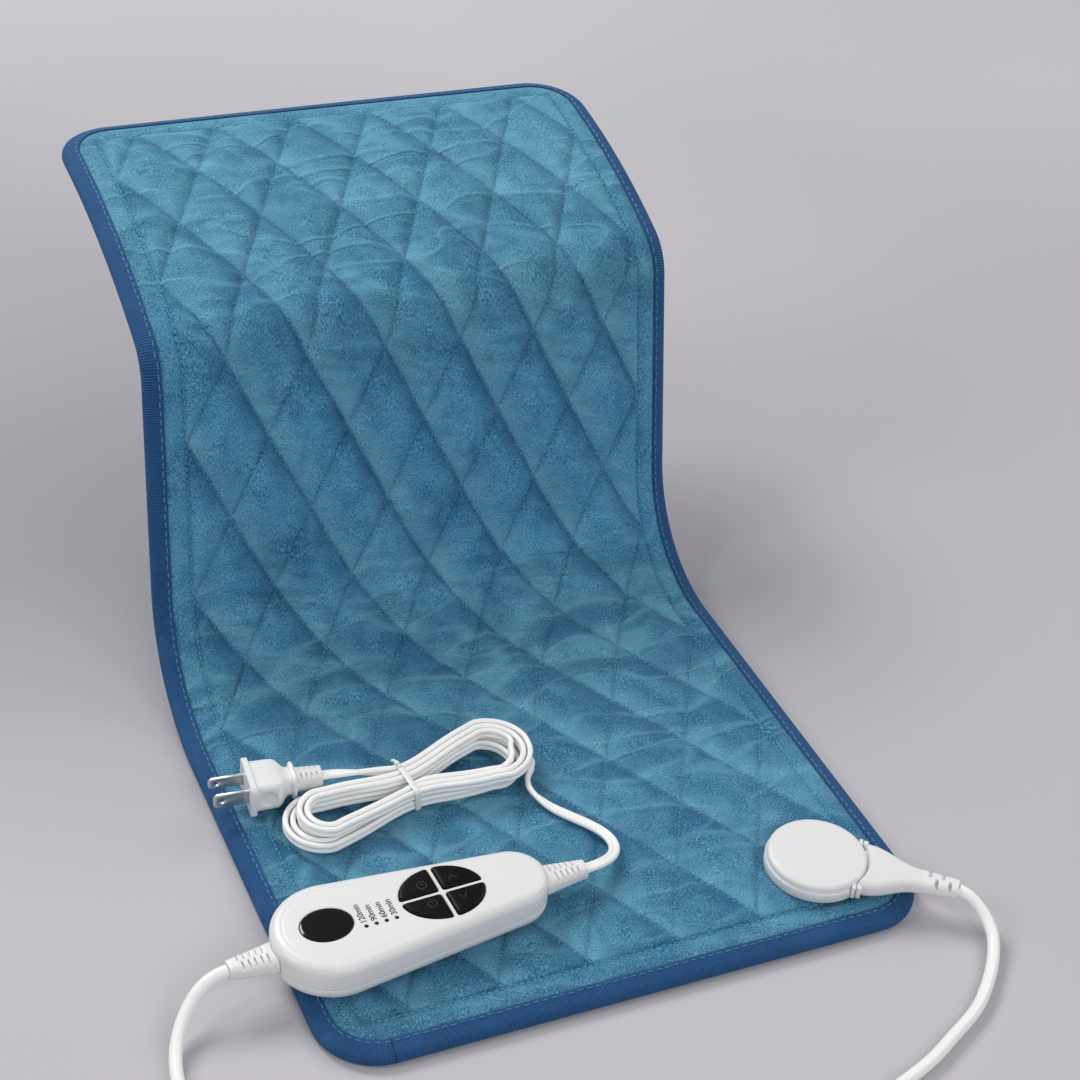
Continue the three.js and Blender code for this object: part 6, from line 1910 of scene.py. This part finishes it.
def dress_hidden_parts():
    """Gives every CAD node the detailed material of its slot."""
    made_by_slot = {
        "felt": felt_material,
        "board": board_material,
        "nickel": nickel_material,
        "plush": plush_material,
        "backing": plush_material,
        "binding": tape_material,
    }
    moulded_by_slot = {
        "wire_sheath": "white_soft_moulding",
        "white_soft": "white_soft_moulding",
        "white_gloss": "white_moulding",
        "black_gloss": "black_window",
        "black_key": "satin_key",
        "dark_component": "dark_moulding",
        "clear_guide": "clear_moulding",
        "cord_white": "cord_sheath",
    }
    for entry in frame["record"]["subparts"]:
        slot = entry["material_slot"]
        if slot in made_by_slot:
            material = made_by_slot[slot]()
        else:
            material = moulded_material(moulded_by_slot[slot])
        node = frame["nodes"][entry["node"]]
        node.data.materials.clear()
        node.data.materials.append(material)


def add_light(name, place, size, power, color):
    """Adds a soft rectangular light that shines at the pad."""
    data = bpy.data.lights.new(name, "AREA")
    data.shape = "RECTANGLE"
    data.size = size[0]
    data.size_y = size[1]
    data.energy = power
    data.color = color
    light = bpy.data.objects.new(name, data)
    bpy.context.scene.collection.objects.link(light)
    light.location = place
    heading = LIT_PLACE - light.location
    light.rotation_euler = heading.to_track_quat("-Z", "Y").to_euler()


def build_camera(settings):
    """Camera at the photograph's angle and focal length."""
    data = bpy.data.cameras.new("photo_camera")
    data.sensor_width = 36
    data.lens = settings.focal_length
    data.clip_end = 20
    camera = bpy.data.objects.new("photo_camera", data)
    bpy.context.scene.collection.objects.link(camera)
    rows = Matrix.Rotation(CAMERA_TURN.length, 3, CAMERA_TURN.normalized())
    right, down, forward = (Vector(row) for row in rows)
    pose = Matrix((right, -down, -forward)).transposed().to_4x4()
    pose.translation = row_point(CAMERA_PLACE)
    camera.matrix_world = pose
    bpy.context.scene.camera = camera


def build_stage(settings):
    """Pale paper, soft lights and a pale surround."""
    half = settings.floor_size / 2
    sides = ((-half, -half), (half, -half), (half, half), (-half, half))
    spots = [(x, y, FLOOR_DROP) for x, y in sides]
    floor = make_object("studio_floor", spots, [(0, 1, 2, 3)], floor_material(), None)
    add_light("key_light", (-0.5, 1.3, 1.5), (0.8, 0.8), settings.key_power, (1, 0.99, 0.97))
    add_light("right_light", (1.5, 0.1, 1.3), (0.9, 0.9), settings.right_power, (1, 0.985, 0.96))
    add_light("front_light", (0.2, -1.9, 1.5), (1.8, 1.2), settings.front_power, (0.98, 0.99, 1))
    add_light("left_light", (-1.7, 0.05, 1.25), (0.7, 0.7), settings.left_power, (1, 1, 1))
    world = bpy.data.worlds.new("studio_world")
    world.use_nodes = True
    background = world.node_tree.nodes["Background"]
    background.inputs["Color"].default_value = linear(222, 222, 230)
    background.inputs["Strength"].default_value = settings.world_strength
    scene = bpy.context.scene
    scene.world = world
    scene.view_settings.view_transform = "Standard"
    scene.view_settings.look = "None"


# Settings


class PadSettings(bpy.types.PropertyGroup):
    """Spacing and stitches of the pad."""

    top_spacing: bpy.props.FloatProperty(
        name="Top spacing", description="Distance between points of the plush face",
        default=0.0014, min=0.001, unit="LENGTH",
    )
    back_spacing: bpy.props.FloatProperty(
        name="Back spacing", description="Distance between points of the plush back",
        default=0.0045, min=0.002, unit="LENGTH",
    )
    binding_spacing: bpy.props.FloatProperty(
        name="Binding spacing", description="Distance between sections of the tape",
        default=0.0014, min=0.0005, unit="LENGTH",
    )
    stitch_pitch: bpy.props.FloatProperty(
        name="Stitch pitch", description="Distance from one stitch to the next",
        default=0.0031, min=0.001, unit="LENGTH",
    )
    stitch_share: bpy.props.FloatProperty(
        name="Stitch share", description="Share of the pitch that the thread shows",
        default=0.74, min=0.2, max=0.95, subtype="FACTOR",
    )


class CordSettings(bpy.types.PropertyGroup):
    """Real lengths of the cords."""

    pad_lead_length: bpy.props.FloatProperty(
        name="Pad lead length", description="Length of the lead from connector to controller",
        default=0.57, min=0.1, unit="LENGTH",
    )
    mains_cord_length: bpy.props.FloatProperty(
        name="Mains cord length", description="Length of the cord from controller to plug",
        default=1.6, min=0.1, unit="LENGTH",
    )


class MouldingSettings(bpy.types.PropertyGroup):
    """Fineness of the round mouldings."""

    disc_sides: bpy.props.IntProperty(
        name="Disc sides", description="Number of sides of the round socket", default=128, min=16,
    )


class ColorSettings(bpy.types.PropertyGroup):
    """Colours of the cloth, the mouldings and the paper."""

    __annotations__ = {
        key: bpy.props.FloatVectorProperty(
            name=label, description=words, default=linear(*tone), size=4, min=0, max=1, subtype="COLOR",
        )
        for key, label, words, tone in COLORS
    }


class StageSettings(bpy.types.PropertyGroup):
    """Camera, lights and floor."""

    focal_length: bpy.props.FloatProperty(
        name="Focal length", description="Focal length of the camera", default=76.787, min=10, unit="CAMERA",
    )
    floor_size: bpy.props.FloatProperty(
        name="Floor size", description="Side of the paper", default=9.0, min=1, unit="LENGTH",
    )
    key_power: bpy.props.FloatProperty(
        name="Key light", description="Power of the main light", default=26, min=0, unit="POWER",
    )
    front_power: bpy.props.FloatProperty(
        name="Front light", description="Power of the light at the front", default=20, min=0, unit="POWER",
    )
    right_power: bpy.props.FloatProperty(
        name="Right light", description="Power of the light at the right", default=7, min=0, unit="POWER",
    )
    left_power: bpy.props.FloatProperty(
        name="Left light", description="Power of the light at the left", default=9, min=0, unit="POWER",
    )
    world_strength: bpy.props.FloatProperty(
        name="Surround", description="Strength of the pale surround", default=0.36, min=0, subtype="FACTOR",
    )


# Operators


class HEATINGPAD_OT_stage(bpy.types.Operator):
    """Adds the camera, the lights and the paper"""

    bl_idname = "heating_pad.stage"
    bl_label = "Stage and camera"
    bl_options = {"REGISTER", "UNDO"}

    def execute(self, context):
        build_camera(context.scene.heating_pad_stage)
        build_stage(context.scene.heating_pad_stage)
        return {"FINISHED"}


class HEATINGPAD_OT_hidden_parts(bpy.types.Operator):
    """Gives the CAD nodes their materials"""

    bl_idname = "heating_pad.hidden_parts"
    bl_label = "Carried-over parts"
    bl_options = {"REGISTER", "UNDO"}

    def execute(self, context):
        dress_hidden_parts()
        return {"FINISHED"}


class HEATINGPAD_OT_pad_lead(bpy.types.Operator):
    """Adds the lead from the connector to the controller"""

    bl_idname = "heating_pad.pad_lead"
    bl_label = "Pad lead"
    bl_options = {"REGISTER", "UNDO"}

    def execute(self, context):
        build_pad_lead()
        return {"FINISHED"}


class HEATINGPAD_OT_mains_set(bpy.types.Operator):
    """Adds the tie, the plug and the mains cord that carries them"""

    bl_idname = "heating_pad.mains_set"
    bl_label = "Mains cord, tie and plug"
    bl_options = {"REGISTER", "UNDO"}

    def execute(self, context):
        pieces_on_it = [build_tie()] + build_plug()
        build_mains_cord()
        return {"FINISHED"}


class HEATINGPAD_OT_pad_cloth(bpy.types.Operator):
    """Adds the quilted face and the plush back"""

    bl_idname = "heating_pad.pad_cloth"
    bl_label = "Plush faces"
    bl_options = {"REGISTER", "UNDO"}

    def execute(self, context):
        build_quilted_top(context.scene.heating_pad_pad)
        build_back_cover(context.scene.heating_pad_pad)
        return {"FINISHED"}


class HEATINGPAD_OT_edge(bpy.types.Operator):
    """Adds the binding and the rows of stitches"""

    bl_idname = "heating_pad.edge"
    bl_label = "Binding and stitches"
    bl_options = {"REGISTER", "UNDO"}

    def execute(self, context):
        build_edge_binding(context.scene.heating_pad_pad)
        build_stitches(context.scene.heating_pad_pad)
        return {"FINISHED"}


class HEATINGPAD_OT_socket(bpy.types.Operator):
    """Adds the socket's cover and the connector"""

    bl_idname = "heating_pad.socket"
    bl_label = "Socket and connector"
    bl_options = {"REGISTER", "UNDO"}

    def execute(self, context):
        build_socket(context.scene.heating_pad_mouldings)
        build_connector(context.scene.heating_pad_mouldings)
        return {"FINISHED"}


class HEATINGPAD_OT_boots(bpy.types.Operator):
    """Adds the slotted boots"""

    bl_idname = "heating_pad.boots"
    bl_label = "Boots"
    bl_options = {"REGISTER", "UNDO"}

    def execute(self, context):
        build_boots()
        return {"FINISHED"}


class HEATINGPAD_OT_controller(bpy.types.Operator):
    """Adds the controller's housing, window, keys and lamps"""

    bl_idname = "heating_pad.controller"
    bl_label = "Controller"
    bl_options = {"REGISTER", "UNDO"}

    def execute(self, context):
        build_bottom_shell()
        build_top_shell()
        build_display()
        build_keys()
        build_lamps()
        return {"FINISHED"}


OPERATORS = (
    HEATINGPAD_OT_stage,
    HEATINGPAD_OT_hidden_parts,
    HEATINGPAD_OT_pad_lead,
    HEATINGPAD_OT_mains_set,
    HEATINGPAD_OT_pad_cloth,
    HEATINGPAD_OT_edge,
    HEATINGPAD_OT_socket,
    HEATINGPAD_OT_boots,
    HEATINGPAD_OT_controller,
)


class HEATINGPAD_PT_sidebar(bpy.types.Panel):
    """Buttons and settings of the heating pad"""

    bl_idname = "HEATINGPAD_PT_sidebar"
    bl_label = "Heating pad"
    bl_space_type = "VIEW_3D"
    bl_region_type = "UI"
    bl_category = "Heating pad"

    def draw(self, context):
        layout = self.layout
        for operator in OPERATORS:
            layout.operator(operator.bl_idname)
        for group in GROUPS:
            settings = getattr(context.scene, group)
            for label in settings.__annotations__:
                layout.prop(settings, label)


GROUPS = {
    "heating_pad_pad": PadSettings,
    "heating_pad_cords": CordSettings,
    "heating_pad_mouldings": MouldingSettings,
    "heating_pad_colors": ColorSettings,
    "heating_pad_stage": StageSettings,
}


def register():
    for name, group in GROUPS.items():
        bpy.utils.register_class(group)
        setattr(bpy.types.Scene, name, bpy.props.PointerProperty(type=group))
    for operator in OPERATORS:
        bpy.utils.register_class(operator)
    bpy.utils.register_class(HEATINGPAD_PT_sidebar)


def unregister():
    bpy.utils.unregister_class(HEATINGPAD_PT_sidebar)
    for operator in reversed(OPERATORS):
        bpy.utils.unregister_class(operator)
    for name, group in GROUPS.items():
        delattr(bpy.types.Scene, name)
        bpy.utils.unregister_class(group)


def main():
    """Builds every piece."""
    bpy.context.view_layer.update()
    register()
    for operator in OPERATORS:
        getattr(bpy.ops.heating_pad, operator.bl_idname.split(".")[1])()


if __name__ == "__main__":
    main()
